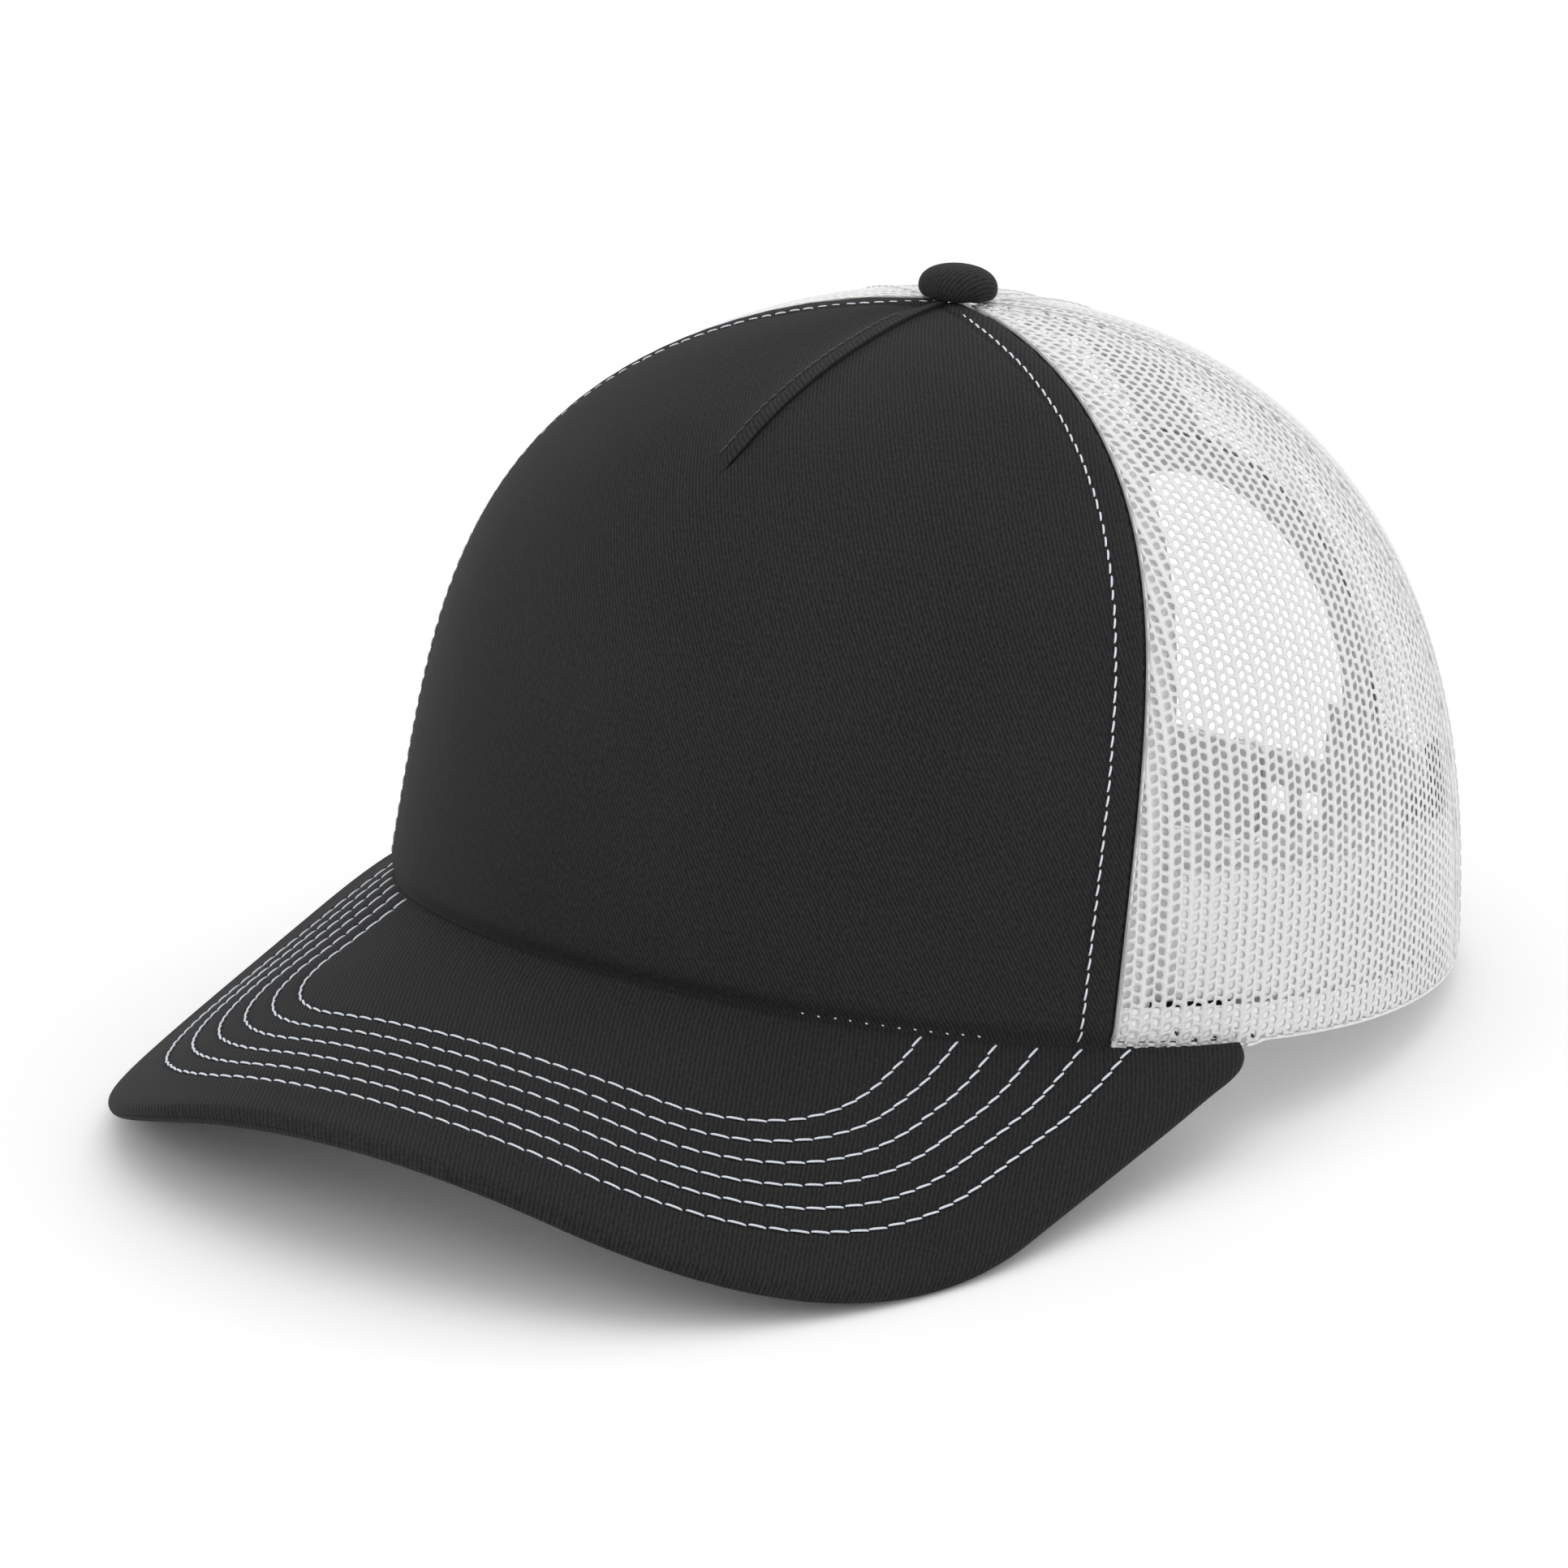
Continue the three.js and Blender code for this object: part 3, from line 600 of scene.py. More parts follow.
def build_front():
    outer, uv = front_grid(0.0)
    inner, _ = front_grid(0.9, lift=False)
    p = Piece()
    p.shell(outer, inner, uv)
    for side in (1, -1):
        _, _, turn, w = seam_path(side, -0.2, 0, 3.4, 8.0, 200)
        strip(p, turn, w, 0.8, 0.72, 0.95, 5)
    p.make("front_panel_cloth", "twill_black", TWILL, ["front_panel"])
    s = Piece()
    for side in (1, -1):
        path, up, _, _ = seam_path(side, SEAM_STITCH, -0.05, 4.3, 4.6)
        s.stitches(path, up, pitch=SEAM_PITCH, length=1.9, radius=SEAM_THREAD,
                   lift=0.12)
    s.make("front_seam_stitches", "twill_black", THREAD_GREY)
    t = Piece()
    w = np.linspace(0.985, DART_END + 0.02, 120)
    turn = -DART_ROW * np.minimum(1, front_seam(w) * girth(0.0, w) / NARROW) / girth(0.0, w)
    t.sew(turn, w, -0.56, pitch=SEAM_PITCH, radius=0.15, lift=0.08)
    t.make("dart_stitches", "twill_black", THREAD_BLACK)


# ------------------------------------------------------------------ open mesh
CELL = np.array([(-1, -1), (0, -1), (1, -1), (1, 0), (1, 1), (0, 1), (-1, 1), (-1, 0)],
                float)


def net(piece, centre, seam_low, seam_high, keep=None):
    """An open knit mesh over one panel: straight ribs, slanted cross strands."""
    table_w = 1 - np.linspace(1, 0.02, 900) ** 2
    line = skin(np.full(900, centre), table_w)
    run = along(line)
    cols = np.arange(-44, 45)
    rows = np.arange(-2, int(run[-1] / NET_Y) + 2)
    c, r = [q.ravel() for q in np.meshgrid(cols, rows, indexing="ij")]
    odd = (c % 2).astype(float)
    cx, cy = c * NET_X, (r + 0.5 * odd) * NET_Y + 0.4
    sign = 1 - 2 * odd

    def surface(x, y):
        w = np.interp(y, run, table_w)
        x = x + math.copysign(NET_LEAN, centre) * (y - 40)
        return centre + x / girth(np.full_like(w, centre), w), w

    turn, w = surface(cx, cy)
    g = girth(turn, w)
    inside = np.minimum(turn - seam_low(w), seam_high(w) - turn) * g
    ok = inside > -NET_X * 0.45
    ok &= (cy > -NET_Y * 0.4) & (w < ring(turn, TOP_RING - 0.5))
    ok &= w * HEIGHT > tucked(turn) - NET_Y * 0.4
    if keep is not None:
        ok &= keep(turn, w)
    cx, cy, sign = cx[ok], cy[ok], sign[ok]
    n = len(cx)
    shake = rng.normal(0, 0.045, (n, 2))
    slope = 0.24 * sign
    ox = CELL[None, :, 0] * NET_X / 2 + np.zeros((n, 1))
    oy = CELL[None, :, 1] * NET_Y / 2 + slope[:, None] * ox
    corner = np.array([0.78, 1] * 4)
    wide, tall = 0.70, 0.63  # half sizes of a hole
    ix = CELL[None, :, 0] * corner * wide + 0.14 * sign[:, None] + shake[:, :1]
    iy = CELL[None, :, 1] * corner * tall + slope[:, None] * ix + shake[:, 1:]
    x = np.concatenate([ox, ix], 1) + cx[:, None]
    y = np.concatenate([oy, iy], 1) + cy[:, None]
    turn, w = surface(x, y)
    g = np.maximum(girth(turn, w), 1)
    turn = np.clip(turn, seam_low(w) + NET_CUT / g, seam_high(w) - NET_CUT / g)
    w = np.clip(w, tucked(turn) / HEIGHT, ring(turn, TOP_RING))
    crest = np.array([0, 0.1, 0, 0] * 2)
    fold = 0.8 - np.clip(w * HEIGHT - tucked(turn), 0, 0.8)
    fold = 0.8 - np.sqrt(np.maximum(0.64 - fold ** 2, 0))
    top = np.r_[crest, np.full(8, 0.12)][None] + fold
    bottom = np.repeat([NET_THICK, NET_THICK - 0.08], 8)[None] + fold
    pts = np.concatenate([crown(turn, w, top), crown(turn, w, bottom)], 1)
    k = np.arange(8)
    m = (k + 1) % 8
    face = np.concatenate([
        np.stack([k, m, m + 8, k + 8], 1),
        np.stack([k + 8, m + 8, m + 24, k + 24], 1),
        np.stack([m + 16, k + 16, k + 24, m + 24], 1)])
    f = (face[None] + (np.arange(n) * 32)[:, None, None]).reshape(-1, 4)
    piece.raw(pts, [f], np.stack([np.tile(q, 2) for q in (x, y)], -1))


EDGE_ROPE = (0.3, 0.32, 0.36)  # depth and half sizes of the thickened edges


def hem_edge(piece, start, end):
    """The folded lower edge of the mesh, from one turn to another."""
    turn = np.radians(np.linspace(start, end, 160))
    t = clamp((np.abs(np.degrees(turn)) - 71) / 4)
    z = mix(junction(turn) + 0.25, tucked(turn) + 0.3, ease(t))
    piece.rope(turn, z / HEIGHT, 0.42, 0.36, 0.42)


def arch_x(z, spread=0.0):
    t = clamp((z - ARCH_LEG) / (ARCH_TOP - ARCH_LEG + spread))
    x = (ARCH_HALF + spread) * np.sqrt(1 - t * t)
    return np.where(z < ARCH_LEG, ARCH_HALF + spread, np.where(t >= 1, 0, x))


def side_turn(w):
    return np.full_like(np.asarray(w, float), SIDE_SEAM)


def back_turn(w):
    return np.full_like(np.asarray(w, float), np.pi)


def build_mesh():
    for side, tag in SIDES:
        p = Piece()
        low = front_seam if side > 0 else (lambda w: -side_turn(w))
        high = side_turn if side > 0 else (lambda w: -front_seam(w))
        net(p, side * math.radians(90), low, high)
        for seam, off in ((front_seam, -0.45), (side_turn, 0.45)):
            _, _, turn, w = seam_path(side, off, 0, 1.0 if seam is side_turn else 4.5,
                                      5.0, 120, seam)
            p.rope(turn, w, *EDGE_ROPE)
        hem_edge(p, side * 58, side * 119.7)
        p.make(f"side_mesh_{tag}_knit", "mesh_white", NET, [f"side_mesh_{tag}"])
        p = Piece()
        low = side_turn if side > 0 else (lambda w: -back_turn(w))
        high = back_turn if side > 0 else (lambda w: -side_turn(w))

        def keep(turn, w):
            q = skin(turn, w)
            return np.abs(q[..., 0]) > arch_x(q[..., 2], 1.6)

        net(p, side * math.radians(150), low, high, keep)
        _, _, turn, w = seam_path(side, -0.45, 0, 0.6, 5.0, 120, side_turn)
        p.rope(turn, w, *EDGE_ROPE)
        w = rows_up((ARCH_TOP + 1.5) / HEIGHT, float(ring(np.pi, 5.0)), 70)
        p.rope(side * (np.pi - 0.45 / girth(np.pi, w)), w, *EDGE_ROPE)
        hem_edge(p, side * 120.3, side * 160)
        p.make(f"back_mesh_{tag}_knit", "mesh_white", NET, [f"back_mesh_{tag}"])


# ------------------------------------------------------------------ seam tapes
def strip(piece, path_turn, w, half, outer, inner, cols=7):
    """A ribbon along a line on the crown, between two depths."""
    u = np.linspace(-1, 1, cols)
    turn = path_turn[None] + u[:, None] * half / girth(path_turn, w)[None]
    ww = np.broadcast_to(w[None], turn.shape)
    p = crown(turn, ww, outer)
    q = crown(turn, ww, inner + 0.12 * (1 - u[:, None] ** 2))
    piece.shell(p, q, pairs(u[:, None] * half, along(p[cols // 2])[None]))


def levels(turn, pts):
    """Heights above the rim, and depths, of a section's points."""
    z, d = np.array(pts, float).T[:, None]
    return z + hem(turn)[:, None], d


def girdle(piece, turn, section):
    """A band round the crown; the section is pairs of (height, depth), out and in."""
    def grid(pts):
        z, d = levels(turn, pts)
        return crown(turn[:, None], z / HEIGHT, d), z

    outer, z = grid([a for a, _ in section])
    inner, _ = grid([b for _, b in section])
    piece.shell(outer, inner, pairs(turn[:, None] * HALF, z))


def build_turning():
    """The mesh turned up inside the rim, a plain white band behind its lowest holes."""
    for side, tag in SIDES:
        turn = np.linspace(math.radians(58.2), math.radians(159), 120)
        if side < 0:
            turn = -turn[::-1]
        section = [((z, 0.4), (z, 0.6)) for z in (0.9, 1.8, 3.2, 4.8, 6.0, 6.4)]
        p = Piece()
        girdle(p, turn, section)
        p.make(f"rim_turning_{tag}", "mesh_white", TAPE)


def tape(node, turn, w):
    """A seam tape with its two rows of stitches."""
    p = Piece()
    strip(p, turn, w, TAPE_HALF, *TAPE_FACES)
    for off in (-TAPE_ROW, TAPE_ROW):
        p.sew(turn + off / girth(turn, w), w, 1.72, TAPE_PITCH, radius=0.18, lift=0.1,
              inside=True)
    p.make(f"{node}_cloth", "tape_white", TAPE, [node])


def build_tapes():
    for tag, seam, low in (("front", front_seam, 5.5), ("side", side_turn, 0.8)):
        for side, word in SIDES:
            _, _, turn, w = seam_path(side, 0, 0, low, 14.0, 90, seam)
            tape(f"seam_tape_{tag}_{word}", turn, w)
    w = rows_up((ARCH_TOP + 9) / HEIGHT, float(ring(np.pi, 14.0)), 50)
    tape("seam_tape_back", np.full_like(w, np.pi), w)
    s = Piece()
    w = rows_up((ARCH_TOP + 3) / HEIGHT, float(ring(np.pi, 8.0)), 120)
    look = {"radius": SEAM_THREAD, "lift": 0.12}
    for side in (1, -1):
        for off in (-4.6, 4.6):
            path, up, _, _ = seam_path(side, off, -0.1, 2.0, 8.0, 220, side_turn)
            s.stitches(path, up, TAPE_PITCH, **look)
            if side > 0:
                s.sew(np.pi - off / girth(np.pi, w), w, -0.1, TAPE_PITCH, **look)
    s.make("mesh_seam_stitches", "mesh_white", THREAD_WHITE)


def back_turn_at(x, w):
    turn = np.pi - np.arcsin(np.clip(x / HALF, -1, 1))
    for _ in range(8):
        turn = turn + (skin(turn, w)[..., 0] - x) / girth(turn, w)
    return turn


def arch_line(spread, count=120):
    """Points (x, z) up one side of the back arch, over its top and down the other."""
    legs = np.linspace(0.6, ARCH_LEG, count // 4, endpoint=False)
    a = np.linspace(0, np.pi / 2, count)
    x = np.r_[np.full(len(legs), ARCH_HALF + spread), (ARCH_HALF + spread) * np.cos(a)]
    z = np.r_[legs, ARCH_LEG + (ARCH_TOP - ARCH_LEG + spread) * np.sin(a)]
    return np.r_[x, -x[-2::-1]], np.r_[z, z[-2::-1]]


def on_back(x, z, depth):
    w = z / HEIGHT
    return crown(back_turn_at(x, w), w, depth)


def build_binding():
    # the section: (spread from the arch, outer depth, inner depth), and the inner spread
    path = [(7.6, -0.55, -0.1), (7.2, -0.85, -0.1), (4.0, -0.8, -0.1), (1.0, -0.9, -0.1),
            (0.25, -0.7, 0.1), (0, -0.2, 0.4), (0, 1.0, 0.5), (0.25, 1.5, 0.8),
            (1.0, 1.75, 1.0), (4.0, 1.7, 1.0), (7.2, 1.75, 1.0), (7.6, 1.45, 1.0)]
    inset = [7.6, 7.2, 4.0, 1.4, 1.0, 0.8, 0.8, 1.0, 1.4, 4.0, 7.2, 7.6]
    outer = np.stack([on_back(*arch_line(s), a) for s, a, _ in path[::-1]], 1)
    inner = np.stack([on_back(*arch_line(i), b)
                      for (_, _, b), i in zip(path[::-1], inset[::-1])], 1)
    across = np.array([0, 0.5, 3.7, 6.7, 7.5, 8.1, 9.3, 10, 10.8, 13.8, 17, 17.5])
    p = Piece()
    p.shell(outer, inner, pairs(along(outer[:, 5])[:, None], across[None]))
    p.make("arch_binding_tape", "tape_white", TAPE, ["arch_binding"])
    s = Piece()
    x, z = arch_line(6.3)
    ok = z > 1
    up = unit(on_back(x, z, -2.0) - on_back(x, z, -1.0))
    s.stitches(on_back(x, z, -0.92)[ok], up[ok], TAPE_PITCH, radius=SEAM_THREAD, lift=0.1)
    x, z = arch_line(1.6)
    s.stitches(on_back(x, z, -0.95), up, TAPE_PITCH, radius=SEAM_THREAD, lift=0.1)
    s.make("arch_stitches", "tape_white", THREAD_WHITE)


# ------------------------------------------------------------------ inside the rim
def rim_piece(end, section):
    """A band inside the rim; the section is pairs of (height, depth), out and in."""
    turn = np.linspace(-end, end, 220)

    def grid(pts):
        z, d = levels(turn, pts)
        d = np.maximum(d, 3.0 * clamp(pinch(turn) / 0.4)[:, None])
        soft = wave((0.12, 31 * turn), (0.1, 53 * turn + 1))[:, None] * clamp(d - 4)
        return crown(turn[:, None], z / HEIGHT, d + soft)

    outer, inner = grid([a for a, _ in section]), grid([b for _, b in section])
    p = Piece()
    p.shell(outer, inner, pairs(turn[:, None] * HALF, np.array([b[0] for _, b in section])))
    return p


def build_inside():
    section = [((1.9, 1.15), (1.0, 1.15)), ((1.6, 3.0), (0.75, 3.0)),
               ((2.2, 4.4), (1.1, 4.8)), ((4, 5.1), (3.0, 6.0)), ((9, 5.1), (9, 6.7)),
               ((15, 5.1), (15, 6.9)), ((21, 5.1), (21, 6.8)), ((26, 5.1), (26, 6.3)),
               ((28.5, 5.1), (28.5, 5.75)), ((30, 5.1), (30, 5.95)),
               ((31.2, 5.2), (31.2, 5.8)), ((31.5, 5.35), (31.5, 5.55))]
    band = rim_piece(BAND_END, section)
    turn = np.linspace(-BAND_END + 0.02, BAND_END - 0.02, 700)
    for high, depth in ((28.4, 5.72), (4.2, 6.25)):
        w = (hem(turn) + high) / HEIGHT
        band.sew(turn, w, depth, 3.0, radius=SEAM_THREAD, lift=0.1, inside=True)
    band.make("sweatband_cloth", "sweatband_white", BANDCLOTH, ["sweatband"])
    build_foam()
    allowance = Piece()
    section = [((z, 2.15), (z, 2.65)) for z in (0, 2, 4, 6, 6.6, 6.9)]
    girdle(allowance, np.radians(np.linspace(-72, 72, 120)), section)
    allowance.make("visor_allowance_cloth", "twill_black", TWILL,
                   ["visor_seam_allowance"])
    build_liner()
    build_label()


def build_liner():
    """The stiff lining behind the front, between the tapes and up to near the button."""
    foot, beside_tape, top_ring = 4.8, 7.0, 14.0
    rows, across = rows_up(0, 1, 90)[:, None], np.linspace(-1, 1, 61)[None]
    turn = 0 * rows * across
    for _ in range(4):
        w = mix((hem(turn) + foot) / HEIGHT, ring(turn, top_ring), rows)
        seam = front_seam(w)
        turn = (seam - beside_tape / girth(seam, w)) * across
    faces = crown(turn, w, 1.2), crown(turn, w, 1.8), np.stack([turn * 80, w * 130], -1)
    p = Piece()
    p.shell(*[q.transpose(1, 0, 2) for q in faces])
    p.make("front_liner_buckram", "lining_white", BUCKRAM, ["front_liner"])


def build_foam():
    """A thin pad on the mesh, stepping in over the tapes and the visor's seam."""
    turn = np.radians(np.linspace(-140, 140, 337))[:, None]
    up = np.array([1.1, 2, 5, 6.95, 7.25, 10, 14, 20, 25, 27.3, 28])[None]
    away = np.abs(np.degrees(turn))
    beside = np.minimum(clamp((np.abs(away - 120) - 5) / 2.5),
                        clamp((away - 62.5) / 2.5))
    past = np.where(up > 7, 1, clamp((away - 75) / 2.5))
    face = np.maximum(mix(2.1, 1.2, beside), mix(3.0, 1.2, past))
    soft = clamp(np.minimum(up - 1.1, 28 - up) / 0.9)
    puff = 0.05 * np.sin(23 * turn) * np.sin(up / 4)
    w = (hem(turn) + up) / HEIGHT
    face = np.where(face < 1.3, np.where(up > 7, 0.5, 0.66), face)
    outer = crown(turn, w, face + 0.06 + puff + 0.35 * (1 - soft) ** 2)
    inner = crown(turn, w, 4.72 - 0.35 * (1 - soft) ** 2)
    p = Piece()
    p.shell(outer, inner, pairs(turn * HALF, up))
    return p.make("sweatband_foam_pad", "foam_grey", FOAM, ["sweatband_foam"])


def build_label():
    """A small blank black label that stands above the sweatband, beside the tape."""
    turn = np.radians(np.linspace(109.5, 115.2, 9))[:, None]
    z = np.linspace(28.7, 40.6, 15)[None]
    w = z / HEIGHT
    curl = 0.08 * np.sin(z / 3) * np.sin(turn * 9)
    p = Piece()
    p.shell(crown(turn, w, 0.55 + curl), crown(turn, w, 0.85 + curl), pairs(turn * HALF, z))
    p.make("size_label_cloth", "twill_black",
           weave("label_satin", 0.4, (0.012, 0.012, 0.013), (0.03, 0.03, 0.032), 0.55),
           ["size_label"])


# ------------------------------------------------------------------ snap strap
STRAP_LOW, STRAP_HIGH, HINGE = 1.2, 19.2, 27.1
STRAP_MID, STRAP_HALF = (STRAP_LOW + STRAP_HIGH) / 2, (STRAP_HIGH - STRAP_LOW) / 2
STRAP_THICK, HOLES_DEPTH, PEGS_DEPTH = 1.2, 2.1, 3.6
PITCH_X, FIRST, HOLES, PEGS = 7.4, 22.5, 7, 5
TAB = 13.5  # length of the sewn end
HOLE_R = 2.6


def strap_cells(piece, edges, centres, depth):
    """A strap as cells side by side, each with a round hole."""
    mid, half, hole = STRAP_MID, STRAP_HALF, HOLE_R
    sides, steps = 32, 7
    a = (np.arange(sides) + 0.5) / sides * 2 * np.pi
    for (x0, x1), c in zip(edges, centres):
        hx = np.where(np.cos(a) > 0, x1 - c, c - x0)
        r = np.minimum(hx / np.maximum(np.abs(np.cos(a)), 1e-6),
                       half / np.maximum(np.abs(np.sin(a)), 1e-6))
        t = np.linspace(0, 1, steps)
        rad = mix(hole, r[None], t[:, None] ** 0.8)
        x, z = c + rad * np.cos(a), mid + rad * np.sin(a)
        inside = clamp(1 - (rad - hole) / 0.25) * 0.18
        ridge = -0.14 * bell(rad - hole - 0.7, 0.35)
        edge = 0.22 * clamp((np.abs(z - mid) - half + 0.5) / 0.5) ** 2
        rail = -0.16 * bell(np.abs(z - mid) - half + 1.1, 0.5)
        top = on_back(x, z, depth + inside + ridge + edge + rail)
        bottom = on_back(x, z, depth + STRAP_THICK - inside - edge)
        n = steps * sides
        i = np.arange(n).reshape(steps, sides)
        nx = np.roll(i, -1, 1)
        up = np.stack([i[:-1], i[1:], nx[1:], nx[:-1]], -1).reshape(-1, 4)
        down = up[:, ::-1] + n
        wall = np.stack([i[0], nx[0], nx[0] + n, i[0] + n], 1)
        rim = np.stack([nx[-1], i[-1], i[-1] + n, nx[-1] + n], 1)
        pts = np.concatenate([top.reshape(-1, 3), bottom.reshape(-1, 3)])
        uv = np.concatenate([pairs(x, z).reshape(-1, 2)] * 2)
        piece.raw(pts, [up, down, wall, rim], uv)


def strap_plain(piece, x0, x1, depth, round_end=0.0):
    """A plain length of strap; round_end is the corner radius at x1."""
    n = max(int(abs(x1 - x0) / 0.6), 6)
    x = np.linspace(x0, x1, n)
    mid, half = STRAP_MID, STRAP_HALF
    near = clamp(1 - np.abs(x1 - x) / max(round_end, 1e-6)) if round_end else 0 * x
    short = half - round_end * (1 - np.sqrt(np.maximum(1 - near ** 2, 0)))
    v = np.array([-1, -0.985, -0.95, -0.88, -0.8, -0.4, 0, 0.4, 0.8, 0.88, 0.95, 0.985, 1])
    z = mid + short[:, None] * v[None]
    dist = (1 - np.abs(v))[None] * short[:, None]
    edge = 0.3 * clamp(1 - dist / 0.5) ** 2
    rail = -0.16 * bell(dist - 1.1, 0.5)
    uv = pairs(x[:, None], z)
    faces = (on_back(uv[..., 0], z, depth + edge + rail),
             on_back(uv[..., 0], z, depth + STRAP_THICK - edge), uv)
    piece.shell(*[q[::-1] for q in faces] if x1 > x0 else faces)


def build_straps():
    xs = [FIRST - k * PITCH_X for k in range(HOLES)]
    p = Piece()
    edges = [(x - PITCH_X / 2, x + PITCH_X / 2) for x in xs]
    strap_cells(p, edges, xs, HOLES_DEPTH)
    strap_plain(p, edges[0][1], HINGE + TAB, HOLES_DEPTH)
    strap_plain(p, edges[-1][0], -26.0, HOLES_DEPTH, 0.38)
    ob = p.make("strap_with_holes_moulding", "strap_white", PLASTIC,
                ["snap_strap_holes", "strap_tab_left"], body=None)
    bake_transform(ob)
    p = Piece()
    strap_plain(p, -HINGE - TAB, 11.4, PEGS_DEPTH, 3.0)
    for x in xs[HOLES - PEGS:]:
        peg(p, x, PEGS_DEPTH)
    ob = p.make("strap_with_pegs_moulding", "strap_white", PLASTIC,
                ["snap_strap_pegs", "strap_tab_right"], body=None)
    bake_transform(ob)


def peg(piece, x, depth):
    base = on_back(x, STRAP_MID, depth + 0.3)
    up = unit(on_back(x, STRAP_MID, depth - 1) - on_back(x, STRAP_MID, depth))
    east = unit(np.cross(up, [0, 0, 1.0]))
    north = np.cross(up, east)
    prof = [(2.3, 0.2), (2.1, 0.4), (1.8, 0.7), (1.75, 1.3), (1.85, 1.6), (1.8, 1.85),
            (1.5, 2.0), (0.8, 2.05), (0.01, 2.06)]
    a = np.linspace(0, 2 * np.pi, 24, endpoint=False)
    pts = np.array([[base + up * h + (east * math.cos(t) + north * math.sin(t)) * r
                     for t in a] for r, h in prof])
    i = np.arange(len(prof) * 24).reshape(-1, 24)
    piece.raw(pts, [hoops(i), i[:1, ::-1]])


# ------------------------------------------------------------------ visor
def visor(s, v, off=0.0):
    """The visor's curved sheet: s across, v forward, off above its middle."""
    s, v, off = np.broadcast_arrays(*[np.asarray(q, float) for q in (s, v, off)])
    r = BEND * (1 + CONE * v / 70)
    steps = 24
    q = np.linspace(0, 1, steps + 1) * np.abs(s)[..., None]
    ang = q / r[..., None] * (1 + TIGHTEN * (q / 80) ** 2)
    wt = np.ones(steps + 1)
    wt[[0, -1]] = 0.5
    ds = np.abs(s) / steps
    x = (np.cos(ang) * wt).sum(-1) * ds * np.sign(s)
    h = -(np.sin(ang) * wt).sum(-1) * ds
    end = ang[..., -1] * np.sign(s)
    fwd = np.array([0, -math.cos(SLOPE), -math.sin(SLOPE)])
    up = np.array([0, -math.sin(SLOPE), math.cos(SLOPE)])
    ex = np.array([1.0, 0, 0])
    p = (np.array([0, -FRONT, ROOT]) + v[..., None] * fwd + x[..., None] * ex
         + (h - SAG * (v / 70) ** 2)[..., None] * up)
    return p + off[..., None] * (np.sin(end)[..., None] * ex + np.cos(end)[..., None] * up)


def clear_of_crown(p):
    w = p[..., 2] / HEIGHT
    turn = np.arctan2(p[..., 0] / HALF, -p[..., 1] / FRONT)
    for _ in range(5):
        q = skin(turn, w)
        turn = turn + ((p[..., 0] - q[..., 0]) * np.cos(turn)
                       + (p[..., 1] - q[..., 1]) * np.sin(turn)) / girth(turn, w)
    q = skin(turn, w)
    return np.hypot(p[..., 0], p[..., 1]) - np.hypot(q[..., 0], q[..., 1])


def visor_root(s):
    """How far forward the visor's sheet starts, at a distance s across it."""
    s = np.asarray(s, float)
    return halve(np.full(s.shape, -85.0), np.full(s.shape, 20.0),
                 lambda v: clear_of_crown(visor(s, v)) > SEAM_GAP)[1]


def visor_end():
    def past(s):
        p = visor(s, visor_root(s))
        return math.atan2(p[0] / HALF, -p[1] / FRONT) >= VISOR_END

    return float(halve(60.0, VISOR_HALF - 1, past, 30)[0])


def corner_frame():
    n = np.array([math.cos(FLARE), -math.sin(FLARE)])
    t = np.array([math.sin(FLARE), math.cos(FLARE)])
    centre = np.array([0, REACH - TIP_R])
    base = n * (VISOR_HALF * math.cos(FLARE) - CORNER_R)
    b = base - centre
    k = -(b @ t) + math.sqrt((b @ t) ** 2 - b @ b + (TIP_R - CORNER_R) ** 2)
    corner = base + t * k
    d = corner - centre
    return n, t, centre, corner, math.atan2(d[0], d[1]), math.atan2(n[0], n[1])


def outline(inset, end_v, count=None):
    """One half of the visor's flat outline, drawn in by an inset."""
    _, t, centre, corner, a1, a2 = corner_frame()
    a = np.linspace(0, a1, 60)
    tip = centre + (TIP_R - inset) * np.stack([np.sin(a), np.cos(a)], 1)
    a = np.linspace(a1, a2, 90)[1:]
    bow = corner + (CORNER_R - inset) * np.stack([np.sin(a), np.cos(a)], 1)
    v = np.linspace(bow[-1, 1], end_v, 60)[1:]
    side = np.stack([bow[-1, 0] + (v - bow[-1, 1]) * t[0] / t[1], v], 1)
    pts = np.concatenate([tip, bow, side])
    if count is None:
        return pts
    run = along(pts)
    return sample(pts, run, np.linspace(0, run[-1], count))


def inset_of(s, v):
    """How far a flat point lies inside the visor's outline, in mm."""
    n, _, centre, corner, a1, a2 = corner_frame()
    s = np.abs(s)
    ang = np.arctan2(s - corner[0], v - corner[1])
    tip = TIP_R - np.hypot(s - centre[0], v - centre[1])
    bow = CORNER_R - np.hypot(s - corner[0], v - corner[1])
    side = VISOR_HALF * math.cos(FLARE) - (s * n[0] + v * n[1])
    return np.where(ang < a1, tip, np.where(ang < a2, bow, side))


def visor_relief(s, v):
    d = inset_of(s, v)
    rows = sum(bell(d - r, 0.62) for r in ROWS_INSET)
    puff = wave((0.10, 0.055 * s + 0.03 * v), (0.07, 0.11 * s - 0.06 * v + 1.0))
    hump = 0.16 * bell(d - 3.0, 2.2)
    pucker = 0.04 * np.sin(2 * np.pi * s / STITCH) * clamp(rows)
    return (-0.30 * rows + puff + hump + pucker) * clamp(d / 1.5)


ROOT_BLEND = 13.0  # how far from the crown the visor bends to meet its seam
CORNER_V = -52.0  # where the side of the visor starts to round off


